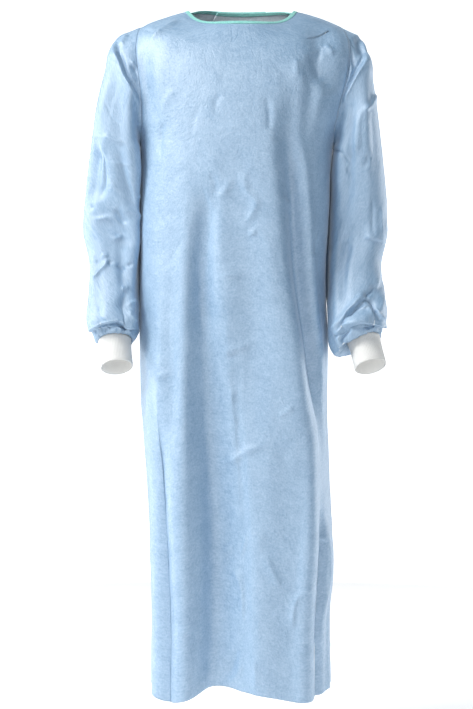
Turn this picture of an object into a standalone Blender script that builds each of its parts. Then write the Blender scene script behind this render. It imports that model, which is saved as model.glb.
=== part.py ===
"""Surgical gown, filled out as if worn, hollow and with nobody in it.

Metres, +Z up.  The front faces -Y.  Left and right are the wearer's: left is +X.
The origin is where the wearer holds the gown up: midway between the two points
where the neck edge meets the shoulder seams.

Every piece of cloth is an open surface that is worked out here and given its
wall by a Solidify modifier, inwards from the surface.  Lengths in the tables
are millimetres, angles are degrees.
"""
import math
from typing import NamedTuple

import bmesh
import bpy
from mathutils import Vector

MM = 0.001

# ---- cloth ---------------------------------------------------------------
WALL = 1.2 * MM                 # wall of every cloth panel
KNIT_WALL = 1.6 * MM            # wall of the knitted cuffs
SEAM_GAP = 0.3 * MM             # between two pieces that meet at a seam
SHARPEST_SEAM = 0.35            # limits how far edges draw back from a sharp corner
LAYER_STEP = 4.4 * MM           # the outer back lies this far outside the inner back

# ---- how finely the surfaces are divided ---------------------------------
SKIRT_STEPS = 12                # hem to underarm
ARMHOLE_STEPS = 16              # underarm to shoulder tip, and half way round a sleeve
SHOULDER_STEPS = 3              # shoulder tip to neck
FRONT_STEPS = 28                # side seam to side seam across the front
BACK_STEPS = 12                 # side seam to where the backs start to overlap
OVERLAP_STEPS = 6               # across the overlap, the same on both backs
CAP_STEPS = 6                   # armhole to the first full ring of the sleeve
SLEEVE_STEPS = 15               # that ring to the cuff seam
CUFF_STEPS = 4
TAIL_STEPS = 6                  # knot to a tape's free end
FRAME_ANGLE = 0.5               # step along a ring that shows how the surface lies
FRAME_ROWS = 0.03               # and step across the rings


class Ring(NamedTuple):
    """One level ring of the body: the sleeves start where its sides are cut away."""

    name: str
    side_z: float               # height at the sides
    front_z: float              # height at the front centre
    back_z: float               # height at the back centre
    half_width: float
    front: float                # depth in front of the side seams
    back: float                 # depth behind the side seams
    squareness: float           # 2 is an ellipse, more is squarer
    shift: float                # of the whole ring, towards +X
    level: float                # how far the front and back stay level before the sides


BODY_RINGS = [
    #    name           side_z  front_z  back_z  width  front  back  square shift level
    Ring("hem",         -1262, -1261, -1268, 165, 114, 130, 2.30,   3, 2.0),
    Ring("shin",        -1130, -1132, -1132, 164, 114, 127, 2.30,   1, 2.0),
    Ring("knee",         -990,  -992,  -991, 169, 113, 122, 2.30,   0, 2.0),
    Ring("low thigh",    -870,  -870,  -870, 170, 112, 118, 2.35,  -6, 2.0),
    Ring("thigh",        -740,  -740,  -740, 173, 114, 115, 2.40, -12, 2.0),
    Ring("hip",          -620,  -620,  -620, 176, 117, 114, 2.40, -13, 2.0),
    Ring("waist",        -500,  -500,  -500, 174, 121, 115, 2.40, -15, 2.0),
    Ring("ribs",         -380,  -382,  -381, 177, 126, 117, 2.40, -12, 2.0),
    Ring("underarm",     -255,  -262,  -260, 181, 130, 119, 2.40,  -8, 2.0),
    Ring("low chest",    -205,  -218,  -212, 194, 130, 118, 2.40,  -3, 2.0),
    Ring("chest",        -152,  -180,  -170, 210, 128, 116, 2.40,   1, 2.0),
    Ring("high chest",   -102,  -145,  -125, 218, 124, 113, 2.40,   3, 2.0),
    Ring("yoke",          -60,  -114,   -85, 212, 118, 109, 2.35,   3, 2.2),
    Ring("shoulder tip",  -30,   -84,   -48, 186, 107, 101, 2.30,   0, 2.6),
    Ring("collar",        -11,   -54,   -12, 138,  92,  86, 2.25,   0, 4.0),
    Ring("neck",            0,   -35,    13, 100,  80,  72, 2.20,   0, 6.0),
]
ROW = {ring.name: index for index, ring in enumerate(BODY_RINGS)}

FRONT_SCOOP = 29.0              # how far the armhole cuts in from the side, in front
BACK_SCOOP = 24.0               # and behind
SEAM_ANGLE = 90.0               # the side and shoulder seams, from the front centre


class Fold(NamedTuple):
    """A long soft fold of the body: a ridge, or a trough where its depth is negative."""

    name: str
    top: float                  # height where it ends above
    low: float                  # height where it ends below
    at_top: float               # its angle there, from the front centre towards +X
    at_middle: float
    at_low: float
    width_top: float            # angle from its middle line to its side
    width_low: float
    depth: float
    fade_top: float             # length over which it grows at its upper end
    fade_low: float


BODY_FOLDS = [
    #     name              top    low   at_top mid  at_low w_top w_low depth f_top f_low
    Fold("long trough",    -250, -1500,  -18.0, -14.5, -22.0,  5, 13, -26, 620, 1),
    Fold("slant trough",   -120,  -900,   20.0,  42.0,  62.0,  6,  8, -17, 260, 260),
    Fold("slant ridge",    -160,  -860,    6.0,  22.0,  38.0,  8, 11,   8, 300, 300),
    Fold("low right dip",  -860, -1500,   58.0,  49.0,  50.0,  6,  7, -14, 200, 1),
    Fold("low right lip",  -880, -1500,   75.0,  72.0,  68.0,  5,  6,   5, 160, 1),
    Fold("chest dip",       -90,  -330,   26.0,  36.0,  46.0,  4,  5,  -5, 90, 110),
    Fold("left chest dip",  -50,  -240,  -52.0, -54.0, -55.0,  7,  8,  -6, 80, 90),
    Fold("left side lip",  -600, -1500,  -64.0, -65.0, -62.0,  7,  9,   6, 260, 1),
    Fold("left side dip",  -640, -1500,  -50.0, -48.0, -46.0,  6,  9,  -8, 260, 1),
    Fold("middle swell",   -560, -1500,    8.0,   6.0,   8.0, 12, 17,   7, 400, 1),
    Fold("left hip dip",   -380, -1500, -104.0, -112., -118.,  8, 13, -14, 460, 1),
    Fold("right hip dip",  -420, -1500,  108.0, 116.0, 122.0,  8, 12, -15, 420, 1),
    Fold("left back dip",  -200, -1500, -142.0, -150., -154.,  7, 12, -13, 500, 1),
    Fold("right back dip", -260, -1500,  140.0, 150.0, 158.0,  7, 12, -16, 520, 1),
    Fold("back swell",     -350, -1500,  180.0, 178.0, 176.0, 12, 16,   8, 500, 1),
]
RIM_SHARE = 0.30                # height of the soft rims beside a fold, of its depth
RIM_AT = 1.75                   # their distance from its middle line, in widths
RIM_SHARPNESS = 1.4             # how quickly they fall away again
HEM_RISE = 0.25                 # how far a trough lifts the hem, of its depth
HEM_REACH = 260.0               # how far above the hem its rises and dips are felt


class HemDip(NamedTuple):
    """A stretch of the hem that hangs lower than the rest."""

    name: str
    angle: float
    width: float                # angle from its middle to its side
    drop: float


HEM_DIPS = [
    HemDip("left front", -48.0, 21.0, 24.0),
    HemDip("right front", 38.0, 27.0, 20.0),
    HemDip("back", 160.0, 40.0, 8.0),
]


class SleeveRing(NamedTuple):
    """One ring of a sleeve.  x counts outwards from the gown's middle plane."""

    name: str
    z: float
    x: float
    y: float
    half_width: float
    half_depth: float
    outer_rise: float           # how much higher the outer side is than the middle
    front_rise: float           # how much higher the front is than the middle
    tuck: float                 # how far its inner back reaches in behind the body's side
    gather: float               # height of the gathers, ridge above the middle line


LEFT_SLEEVE = [
    #          name           z    x    y  width depth out_rise front_rise tuck gather
    SleeveRing("upper arm", -255, 215,   4,  43,  82,   45,   0, 12, 0.0),
    SleeveRing("biceps",    -340, 221,  10,  51,  73,   18,   2, 24, 0.0),
    SleeveRing("elbow",     -422, 223,  14,  55,  67,    5,   8, 26, 0.0),
    SleeveRing("below it",  -484, 215,   3,  49,  62,    2,  15, 24, 0.0),
    SleeveRing("forearm",   -530, 215, -17,  51,  58,    4,  19, 14, 0.6),
    SleeveRing("blouse",    -574, 216, -37,  53,  57,    8,  20,  4, 1.8),
    SleeveRing("overhang",  -606, 214, -49,  49,  52,   20,  18,  0, 3.2),
    SleeveRing("turn",      -624, 217, -56,  42,  42,   24,  14,  0, 3.2),
]
RIGHT_SLEEVE = [
    SleeveRing("upper arm", -255, 236,   6,  41,  82,   45,   0, 12, 0.0),
    SleeveRing("biceps",    -340, 242,  14,  48,  73,   18,   2, 26, 0.0),
    SleeveRing("elbow",     -415, 247,  20,  53,  67,    5,   8, 30, 0.0),
    SleeveRing("below it",  -475, 241,  12,  47,  62,    0,  15, 30, 0.0),
    SleeveRing("forearm",   -527, 241,  -4,  46,  58,    0,  19, 16, 0.6),
    SleeveRing("blouse",    -572, 240, -22,  47,  56,    2,  20,  6, 1.8),
    SleeveRing("overhang",  -597, 235, -34,  44,  51,    2,  18,  4, 3.2),
    SleeveRing("turn",      -613, 235, -42,  37,  41,    2,  14,  0, 3.2),
]
GATHERS = 8                     # round each wrist
CUFF_SEAM_GAP = 0.9 * MM        # the sleeve's end stays this far from the cuff's rim
SEAM_STEP = 5.0                 # angle to the point that shows how a seam bends
SEAM_STEP_ROWS = 0.3            # the same at the top and foot of an armhole, in rings
TUCK_PEAK = 1.35                # brings the shape of the inner back's reach to a height of 1
CAP_SPREAD = 0.85               # how straight the sleeve leaves the armhole
CAP_DROP = 0.34                 # fall of the sleeve's first stretch, as on the shoulder
CAP_AIM = 0.2                   # ring place on the arm that the end of the cap points at
CORNER = 11.0                   # how far the shoulder stands out beyond an even curve
CORNER_LIFT = 0.3               # how much of that goes upwards
CORNER_AT, CORNER_WIDTH = 0.24, 0.15    # where, as shares of the way to the upper arm


class SleeveFold(NamedTuple):
    """A fold of a sleeve.  Angle 0 is its outer side, 90 its front, 180 its inner side."""

    name: str
    top: float
    low: float
    at_top: float
    at_low: float
    width: float
    depth: float


LEFT_SLEEVE_FOLDS = [
    #          name            top   low  at_top at_low width depth
    SleeveFold("front trough", -200, -430,  96.0, 120.0, 15,  -7),
    SleeveFold("upper ridge",  -150, -330,  78.0,  88.0, 12,   5),
    SleeveFold("elbow dent",   -400, -520, 100.0, 130.0, 18,  -8),
    SleeveFold("wrist slant",  -520, -640,  40.0, 130.0, 14,   6),
    SleeveFold("hollow",       -500, -590,  20.0, 100.0, 15,  -7),
    SleeveFold("back trough",  -220, -560, 262.0, 240.0, 18,  -9),
    SleeveFold("back ridge",   -300, -600, 300.0, 285.0, 16,   6),
    SleeveFold("outer dent",   -360, -500,  20.0,  -8.0, 16,  -6),
]
RIGHT_SLEEVE_FOLDS = [
    SleeveFold("front trough", -230, -380,  48.0,  56.0, 14,  -8),
    SleeveFold("long ridge",   -240, -400,  72.0, 112.0, 14,   7),
    SleeveFold("elbow arc",    -380, -450,  40.0, 110.0, 14,   6),
    SleeveFold("elbow dent",   -430, -540, 100.0, 120.0, 18,  -8),
    SleeveFold("low ridge",    -450, -540,  40.0,  60.0, 14,   6),
    SleeveFold("back trough",  -220, -560, 258.0, 245.0, 18,  -9),
    SleeveFold("back ridge",   -300, -600, 300.0, 290.0, 16,   6),
    SleeveFold("low dent",     -520, -600, 130.0,  90.0, 14,  -6),
]


SLEEVE_TABLES = {
    1.0: (LEFT_SLEEVE, LEFT_SLEEVE_FOLDS),
    -1.0: (RIGHT_SLEEVE, RIGHT_SLEEVE_FOLDS),
}


class CuffShape(NamedTuple):
    """A knitted cuff, a tube from the gathered sleeve end to the hand.  x counts outwards."""

    top: tuple                  # middle of the end that is sewn to the sleeve
    low: tuple                  # middle of the open end
    top_radius: float
    waist_radius: float
    low_radius: float


CUFFS = {
    1.0: CuffShape((227, -58, -621), (237, -84, -669), 31.0, 29.6, 29.8),
    -1.0: CuffShape((235.5, -44, -622), (229.5, -70, -670), 31.0, 29.8, 30.0),
}

# ---- back opening --------------------------------------------------------
OVERLAP = 25.0                  # angle that each back reaches past the back centre
LIFT_FROM = 108.0               # angle where the outer back starts to leave the inner one's ring
LIFT_FULL = 148.0

# ---- neck binding --------------------------------------------------------
BINDING_WIDTH = 6.4 * MM        # of each folded side
BINDING_WALL = 1.0 * MM

# ---- fasteners of the back -----------------------------------------------
FASTENER_COLUMNS = (2, 5)       # the steps of the overlap that the patch between them fills
TIE_HEIGHT = -430.0             # height of the tapes' middle
TIE_WIDTH = 24.0
TIE_WALL = 1.0 * MM
TIE_REST = 0.6 * MM             # the tapes lie this far off the back
TIE_RISE = 9.5 * MM             # how far they rise to the knot
LEFT_TIE_COLUMNS = (3, 7)       # the left tape's ends, in steps across the left back
RIGHT_TIE_COLUMNS = (9, 12)     # the right tape's, which starts at the outer back's edge
TAIL_LENGTH = 230.0             # of the tapes' ends, below the knot
TAIL_WIDTH = 21.6
TAIL_GAP = 1.0                  # between the knot and the tails
TAIL_START = 0.35               # share of its slant that a tail already has at the knot
TAIL_SLANTS = (-9.0, 5.0)       # angle by which each tail's foot lies beside the knot
TAIL_RESTS = (6.5 * MM, 4.0 * MM)       # how far each lies off the back: one over the other
KNOT_PLAY = 2.4 * MM            # taken off the space between the two tapes
KNOT_THICKNESS = 12.0 * MM
KNOT_HEIGHT = 30.0 * MM
KNOT_ROUNDING = 3.0 * MM


# ---- finishes ------------------------------------------------------------
class Finish(NamedTuple):
    """A plain cloth finish; every piece gets a material of its own from one of these."""

    name: str
    colour: tuple
    roughness: float


NONWOVEN = Finish("blue_nonwoven", (0.42, 0.60, 0.79), 0.55)
KNIT = Finish("white_knit", (0.88, 0.88, 0.86), 0.85)
BINDING = Finish("green_binding", (0.25, 0.66, 0.60), 0.60)
FASTENER = Finish("white_fastener", (0.85, 0.86, 0.86), 0.80)


# ---- shared sums ---------------------------------------------------------
def blend(a, b, share):
    """The value a share of the way from a to b."""
    return a + (b - a) * share


def smooth_step(value):
    """0 below 0, 1 above 1, and a smooth rise between."""
    value = min(1.0, max(0.0, value))
    return value * value * (3.0 - 2.0 * value)


def through(table, column, row):
    """A column of a table at a fractional row, on a smooth curve through every row."""
    last = len(table) - 1
    row = min(max(row, 0.0), float(last))
    start = min(int(row), last - 1)
    share = row - start
    before, a, b, after = (
        getattr(table[min(max(index, 0), last)], column)
        for index in (start - 1, start, start + 1, start + 2)
    )
    return 0.5 * (
        2.0 * a
        + (b - before) * share
        + (2.0 * before - 5.0 * a + 4.0 * b - after) * share ** 2
        + (3.0 * a - before - 3.0 * b + after) * share ** 3
    )


def signed_power(value, power):
    """A power that keeps the sign."""
    return math.copysign(abs(value) ** power, value)


def turn_between(angle, middle):
    """Degrees from one angle to another the short way round."""
    return (angle - middle + 180.0) % 360.0 - 180.0


# ---- the body's surface --------------------------------------------------
def fold_shape(offset):
    """Cross-section of a fold: 1 on its middle line, with a soft rim on each side."""
    rim = math.exp(-((abs(offset) - RIM_AT) ** 2) * RIM_SHARPNESS)
    return math.exp(-offset * offset) - RIM_SHARE * rim


def fold_height(angle, z):
    """How far all the folds together move the cloth outwards there."""
    total = 0.0
    for fold in BODY_FOLDS:
        reach = (fold.top - z) / (fold.top - fold.low)
        if not 0.0 < reach < 1.0:
            continue
        middle = (
            fold.at_top * (1.0 - reach) * (1.0 - 2.0 * reach)
            + fold.at_middle * 4.0 * reach * (1.0 - reach)
            + fold.at_low * reach * (2.0 * reach - 1.0)
        )
        width = blend(fold.width_top, fold.width_low, reach)
        grown = smooth_step((fold.top - z) / fold.fade_top)
        grown *= smooth_step((z - fold.low) / fold.fade_low)
        total += fold.depth * grown * fold_shape(turn_between(angle, middle) / width)
    return total


def hem_drop(angle):
    """How much lower than its ring the hem hangs there."""
    return sum(dip.drop * math.exp(-(turn_between(angle, dip.angle) / dip.width) ** 2)
               for dip in HEM_DIPS)


def body_point(angle, row):
    """Point of the body's surface at an angle from the front centre and a row of the rings."""
    ring = {name: through(BODY_RINGS, name, row) for name in Ring._fields[1:]}
    turn = math.radians(angle)
    power = 2.0 / ring["squareness"]
    across = signed_power(math.sin(turn), power)
    forward = signed_power(math.cos(turn), power)
    depth = ring["front"] if forward > 0.0 else ring["back"]
    middle_z = ring["front_z"] if forward > 0.0 else ring["back_z"]
    z = middle_z + (ring["side_z"] - middle_z) * abs(across) ** ring["level"]
    out = Vector((
        signed_power(across, ring["squareness"] - 1.0) / ring["half_width"],
        -signed_power(forward, ring["squareness"] - 1.0) / depth,
        0.0,
    )).normalized()
    raised = fold_height(angle, z)
    near_hem = smooth_step(1.0 - (z - BODY_RINGS[0].side_z) / HEM_REACH)
    point = Vector((
        ring["shift"] + ring["half_width"] * across,
        -depth * forward,
        z - (HEM_RISE * min(raised, 0.0) + hem_drop(angle)) * near_hem,
    ))
    return (point + out * raised) * MM


def body_frame(angle, row, step_row=FRAME_ROWS):
    """Point, outward normal and upward direction of the body's surface."""
    last = len(BODY_RINGS) - 1
    low, high = max(row - step_row, 0.0), min(row + step_row, last)
    sideways = body_point(angle + FRAME_ANGLE, row) - body_point(angle - FRAME_ANGLE, row)
    upwards = (body_point(angle, high) - body_point(angle, low)).normalized()
    return body_point(angle, row), sideways.cross(upwards).normalized(), upwards


def lifted_point(angle, row, lift):
    """Point of the body's surface, moved outwards."""
    point, out, _ = body_frame(angle, row)
    return point + out * lift


def armhole(turn, side, scoop):
    """Angle and row of the armhole's edge; turn is 0 at the underarm, pi at the shoulder."""
    share = (1.0 - math.cos(turn)) / 2.0
    row = blend(ROW["underarm"], ROW["shoulder tip"], share)
    return side * (SEAM_ANGLE - scoop * math.sin(turn)), row


def panel_rows():
    """Rows of a body panel from the hem to the neck, with its armhole turn or None."""
    rows = []
    for step in range(SKIRT_STEPS):
        rows.append((ROW["underarm"] * step / SKIRT_STEPS, None))
    for step in range(ARMHOLE_STEPS + 1):
        turn = math.pi * step / ARMHOLE_STEPS
        rows.append((armhole(turn, 1.0, FRONT_SCOOP)[1], turn))
    top = len(BODY_RINGS) - 1
    for step in range(1, SHOULDER_STEPS + 1):
        rows.append((blend(ROW["shoulder tip"], top, step / SHOULDER_STEPS), None))
    return rows


def seam_edge(edge, inside, outside, normal):
    """A piece's edge point, drawn back from the seam line so that the walls stay apart.

    Inside is the piece's own next point, outside the neighbour's.  Where the
    seam is a ridge, the inner faces of the two walls would meet first.
    """
    to_inside = (inside - edge).normalized()
    to_outside = (outside - edge).normalized()
    half = max(to_inside.angle(to_outside) / 2.0, SHARPEST_SEAM)
    distance = SEAM_GAP / 2.0 / math.sin(half)
    if (to_inside + to_outside).dot(normal) < 0.0:
        distance += WALL / math.tan(half)
    return edge + to_inside * distance


# ---- Blender objects -----------------------------------------------------
def clear_scene():
    """Remove every object of the scene that is open."""
    for item in list(bpy.data.objects):
        bpy.data.objects.remove(item, do_unlink=True)


def new_collection(name):
    """The collection that holds the gown."""
    collection = bpy.data.collections.new(name)
    bpy.context.scene.collection.children.link(collection)
    return collection


def cloth_material(piece, finish):
    """A plain Principled material for one piece."""
    material = bpy.data.materials.new(f"{piece}_{finish.name}")
    material.use_nodes = True
    shader = material.node_tree.nodes["Principled BSDF"]
    shader.inputs["Base Color"].default_value = (*finish.colour, 1.0)
    shader.inputs["Roughness"].default_value = finish.roughness
    shader.inputs["Metallic"].default_value = 0.0
    return material


def mesh_object(collection, name, points, faces, finish):
    """A mesh object with a material of its own."""
    mesh = bpy.data.meshes.new(name)
    mesh.from_pydata([tuple(point) for point in points], [], faces)
    mesh.validate()
    mesh.shade_smooth()
    mesh.materials.append(cloth_material(name, finish))
    item = bpy.data.objects.new(name, mesh)
    collection.objects.link(item)
    return item


def add_wall(item, thickness):
    """Give an open surface its wall, inwards."""
    wall = item.modifiers.new("wall", "SOLIDIFY")
    wall.thickness = thickness
    wall.offset = -1.0
    return item


def grid_faces(rows, columns, closed, flipped):
    """Quads of a grid of points; a closed grid joins its last column to its first."""
    faces = []
    for row in range(rows - 1):
        for column in range(columns if closed else columns - 1):
            right = (column + 1) % columns
            face = (row * columns + column, row * columns + right,
                    (row + 1) * columns + right, (row + 1) * columns + column)
            faces.append(face[::-1] if flipped else face)
    return faces


def cloth_grid(collection, name, rows, closed, finish, thickness=WALL, flipped=False):
    """A cloth piece from rows of points, bottom row first, each running towards +X in front."""
    points = [point for row in rows for point in row]
    faces = grid_faces(len(rows), len(rows[0]), closed, flipped)
    return add_wall(mesh_object(collection, name, points, faces, finish), thickness)


# ---- edges of the panels -------------------------------------------------
def front_angles(turn):
    """Angles across the front on one row."""
    reach = SEAM_ANGLE if turn is None else armhole(turn, 1.0, FRONT_SCOOP)[0]
    return [blend(-reach, reach, step / FRONT_STEPS) for step in range(FRONT_STEPS + 1)]


def back_angles(turn):
    """Angles across a back: its own part first, then the part where both backs lie."""
    start = SEAM_ANGLE
    if turn is not None:
        start = 2.0 * SEAM_ANGLE - armhole(turn, 1.0, BACK_SCOOP)[0]
    under = 180.0 - OVERLAP
    own = [blend(start, under, step / BACK_STEPS) for step in range(BACK_STEPS)]
    shared = [under + 2.0 * OVERLAP * step / OVERLAP_STEPS for step in range(OVERLAP_STEPS + 1)]
    return own + shared


def beyond_edge(side, in_front, row, turn):
    """The next point across a panel's seam: on the other panel, or on the sleeve."""
    if turn is None:
        step = SEAM_STEP if in_front else -SEAM_STEP
        return body_point(side * (SEAM_ANGLE + step), row)
    around = turn if in_front else 2.0 * math.pi - turn
    return cap_point(side, around, 1.0 / CAP_STEPS)


# ---- the pieces ----------------------------------------------------------
def front_panel(collection):
    """The front, from side seam to side seam."""
    rows = []
    for row, turn in panel_rows():
        angles = front_angles(turn)
        line = [body_point(angle, row) for angle in angles]
        for side, end, inner in ((-1.0, 0, 1), (1.0, -1, -2)):
            outside = beyond_edge(side, True, row, turn)
            normal = body_frame(angles[end], row)[1]
            line[end] = seam_edge(line[end], line[inner], outside, normal)
        rows.append(line)
    return cloth_grid(collection, "front_panel", rows, False, NONWOVEN)


def outer_lift(angle):
    """How far the outer back has left the ring of the inner one at this angle."""
    return LAYER_STEP * smooth_step((abs(angle) - LIFT_FROM) / (LIFT_FULL - LIFT_FROM))


def back_panel(collection, name, side, outer):
    """One back, from its side seam past the back centre."""
    rows = []
    for row, turn in panel_rows():
        angles = back_angles(turn)
        line = []
        for angle in angles:
            lift = outer_lift(angle) if outer else 0.0
            line.append(lifted_point(side * angle, row, lift))
        outside = beyond_edge(side, False, row, turn)
        normal = body_frame(side * angles[0], row)[1]
        line[0] = seam_edge(line[0], line[1], outside, normal)
        rows.append(line)
    return cloth_grid(collection, name, rows, False, NONWOVEN, flipped=side < 0.0)


def sleeve_fold_height(folds, angle, z):
    """How far a sleeve's folds move its cloth outwards there."""
    total = 0.0
    for fold in folds:
        reach = (fold.top - z) / (fold.top - fold.low)
        if 0.0 < reach < 1.0:
            offset = turn_between(angle, blend(fold.at_top, fold.at_low, reach)) / fold.width
            total += fold.depth * math.sin(math.pi * reach) * fold_shape(offset)
    return total


def sleeve_tube_point(side, turn, row):
    """Point of a hanging sleeve; turn is pi at its outer side and 0 or 2 pi at its inner side."""
    table, folds = SLEEVE_TABLES[side]
    ring = {name: through(table, name, row) for name in SleeveRing._fields[1:]}
    outward, forward = -math.cos(turn), math.sin(turn)
    angle = math.degrees(math.atan2(forward, outward))
    raised = ring["gather"] * math.cos(GATHERS * turn)
    z = ring["z"] + outward * ring["outer_rise"] + forward * ring["front_rise"]
    raised += sleeve_fold_height(folds, angle, z)
    in_behind = 0.0
    if turn > 1.5 * math.pi:
        in_behind = -TUCK_PEAK * math.sin(2.0 * turn) ** 2 * math.sin(turn)
    out = Vector((side * outward / ring["half_width"], -forward / ring["half_depth"], 0.0))
    point = Vector((
        side * (ring["x"] + outward * ring["half_width"] - ring["tuck"] * in_behind),
        ring["y"] - forward * ring["half_depth"],
        z,
    ))
    return (point + out.normalized() * raised) * MM


def armhole_place(side, turn):
    """Angle and row of the whole armhole's seam line: the front from 0 to pi, then the back."""
    if turn <= math.pi:
        return armhole(turn, side, FRONT_SCOOP)
    angle, row = armhole(2.0 * math.pi - turn, side, BACK_SCOOP)
    return side * 2.0 * SEAM_ANGLE - angle, row


def armhole_frame(side, turn):
    """Point, outward normal and upward direction of the body on the armhole's seam line."""
    return body_frame(*armhole_place(side, turn))


def inside_armhole(side, turn):
    """The body panel's point next to the armhole's seam line."""
    angle, row = armhole_place(side, turn)
    if turn in (0.0, math.pi):
        step = SEAM_STEP_ROWS if turn else -SEAM_STEP_ROWS
        return body_point(angle, row + step)
    inward = -1.0 if turn < math.pi else 1.0
    return body_point(angle + side * inward * SEAM_STEP, row)


def cap_point(side, turn, share):
    """Point of the sleeve between the armhole and its first full ring."""
    start = body_point(*armhole_place(side, turn))
    end = sleeve_tube_point(side, turn, 0.0)
    beyond = sleeve_tube_point(side, turn, CAP_AIM)
    length = (end - start).length
    leave = Vector((side, 0.0, -CAP_DROP)).normalized() * length * CAP_SPREAD
    arrive = (beyond - end).normalized() * length
    square, cube = share ** 2, share ** 3
    corner = math.exp(-((share - CORNER_AT) / CORNER_WIDTH) ** 2) * smooth_step(-math.cos(turn))
    corner *= smooth_step(share / CORNER_AT)
    return (
        Vector((side, 0.0, CORNER_LIFT)) * corner * CORNER * MM
        + start * (2.0 * cube - 3.0 * square + 1.0)
        + leave * (cube - 2.0 * square + share)
        + end * (3.0 * square - 2.0 * cube)
        + arrive * (cube - square)
    )


def cuff_point(side, turn, share):
    """Point of a cuff; turn is pi at its outer side, share is 0 at the sleeve's end."""
    shape = CUFFS[side]
    top = Vector((side * shape.top[0], *shape.top[1:]))
    low = Vector((side * shape.low[0], *shape.low[1:]))
    axis = (low - top).normalized()
    outward = (Vector((side, 0.0, 0.0)) - axis * axis.x * side).normalized()
    forward = axis.cross(outward) * side
    ends = blend(shape.top_radius, shape.low_radius, share)
    radius = ends - (ends - shape.waist_radius) * math.sin(math.pi * share)
    spoke = forward * math.sin(turn) - outward * math.cos(turn)
    return (top + (low - top) * share + spoke * radius) * MM


def sleeve_turns():
    """Turns of the points round a sleeve and a cuff."""
    around = 2 * ARMHOLE_STEPS
    return [2.0 * math.pi * step / around for step in range(around)]


def sleeve(collection, name, side):
    """A set-in sleeve, from the armhole to the cuff."""
    turns = sleeve_turns()
    rows = []
    for step in range(CAP_STEPS):
        share = step / CAP_STEPS
        rows.append([cap_point(side, turn, share) for turn in turns])
    last = len(SLEEVE_TABLES[side][0]) - 1
    for step in range(SLEEVE_STEPS + 1):
        row = last * step / SLEEVE_STEPS
        rows.append([sleeve_tube_point(side, turn, row) for turn in turns])
    rows.append([cuff_point(side, turn, 0.0) for turn in turns])
    for place, turn in enumerate(turns):
        outside = inside_armhole(side, turn)
        normal = armhole_frame(side, turn)[1]
        rows[0][place] = seam_edge(rows[0][place], rows[1][place], outside, normal)
        inner = rows[-2][place]
        rows[-1][place] += (inner - rows[-1][place]).normalized() * CUFF_SEAM_GAP
    return cloth_grid(collection, name, rows, True, NONWOVEN, flipped=side > 0.0)


def cuff(collection, name, side):
    """A knitted cuff, open at both ends."""
    rows = [[cuff_point(side, turn, step / CUFF_STEPS) for turn in sleeve_turns()]
            for step in range(CUFF_STEPS + 1)]
    return cloth_grid(collection, name, rows, True, KNIT, KNIT_WALL, side > 0.0)


def binding_lift(angle):
    """How far the binding stands outside the body's ring: it follows the outer back."""
    return outer_lift(angle) if angle < 0.0 else 0.0


def binding_section():
    """Corners of the folded tape's section, as (outwards, upwards) from the panel's edge."""
    top = SEAM_GAP
    outer, inner = SEAM_GAP, -WALL - SEAM_GAP
    return [
        (outer, -BINDING_WIDTH),
        (outer + BINDING_WALL, -BINDING_WIDTH),
        (outer + BINDING_WALL, top + 0.5 * BINDING_WALL),
        (outer, top + BINDING_WALL),
        (inner, top + BINDING_WALL),
        (inner - BINDING_WALL, top + 0.5 * BINDING_WALL),
        (inner - BINDING_WALL, -BINDING_WIDTH),
        (inner, -BINDING_WIDTH),
        (inner, top),
        (outer, top),
    ]


def neck_binding(collection):
    """The folded tape over the neck edge, from one back's free edge round to the other's."""
    last = len(BODY_RINGS) - 1
    top_facet = (last - ROW["shoulder tip"]) / SHOULDER_STEPS
    section = binding_section()
    front = front_angles(None)[1:-1]
    back = back_angles(None)
    stations = [-angle for angle in reversed(back)] + front + back
    points = []
    for angle in stations:
        point, out, up = body_frame(angle, last, top_facet)
        edge = point + out * binding_lift(angle)
        points += [edge + out * outwards + up * upwards for outwards, upwards in section]
    size = len(section)
    faces = grid_faces(len(stations), size, True, True)
    faces.append(tuple(range(size)))
    faces.append(tuple(reversed(range(len(points) - size, len(points)))))
    return mesh_object(collection, "neck_binding", points, faces, BINDING)


def neck_fastener(collection):
    """The hook and loop patch that fills the space between the two backs."""
    outside = LAYER_STEP - WALL - SEAM_GAP
    first, last = FASTENER_COLUMNS
    columns = back_angles(None)[BACK_STEPS + first:BACK_STEPS + last + 1]
    rows = []
    for row, _ in panel_rows()[-3:-1]:
        rows.append([lifted_point(angle, row, outside) for angle in columns])
    thickness = outside - SEAM_GAP
    return cloth_grid(collection, "neck_fastener", rows, False, FASTENER, thickness)


def row_at(z):
    """Row of the body's rings whose sides are at a height."""
    low, high = 0.0, float(len(BODY_RINGS) - 1)
    for _ in range(30):
        middle = (low + high) / 2.0
        if through(BODY_RINGS, "side_z", middle) < z:
            low = middle
        else:
            high = middle
    return low


def surface_lift(angle):
    """How far the outermost cloth of the back lies outside the body's ring."""
    covered = angle < 0.0 or angle > 180.0 - OVERLAP
    return outer_lift(angle) if covered else 0.0


def waist_tie(collection, name, columns, rises_forwards):
    """A tape along the back, from where it is sewn to the knot."""
    angles = back_angles(None)[columns[0]:columns[1] + 1]
    rows = []
    for edge in (-0.5, 0.0, 0.5):
        row = row_at(TIE_HEIGHT + edge * TIE_WIDTH)
        line = []
        for step, angle in enumerate(angles):
            share = step / (len(angles) - 1)
            taut = share if rises_forwards else 1.0 - share
            lift = surface_lift(angle) + TIE_REST + TIE_WALL + TIE_RISE * taut
            line.append(lifted_point(angle, row, lift))
        rows.append(line)
    return cloth_grid(collection, name, rows, False, NONWOVEN, TIE_WALL)


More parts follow.
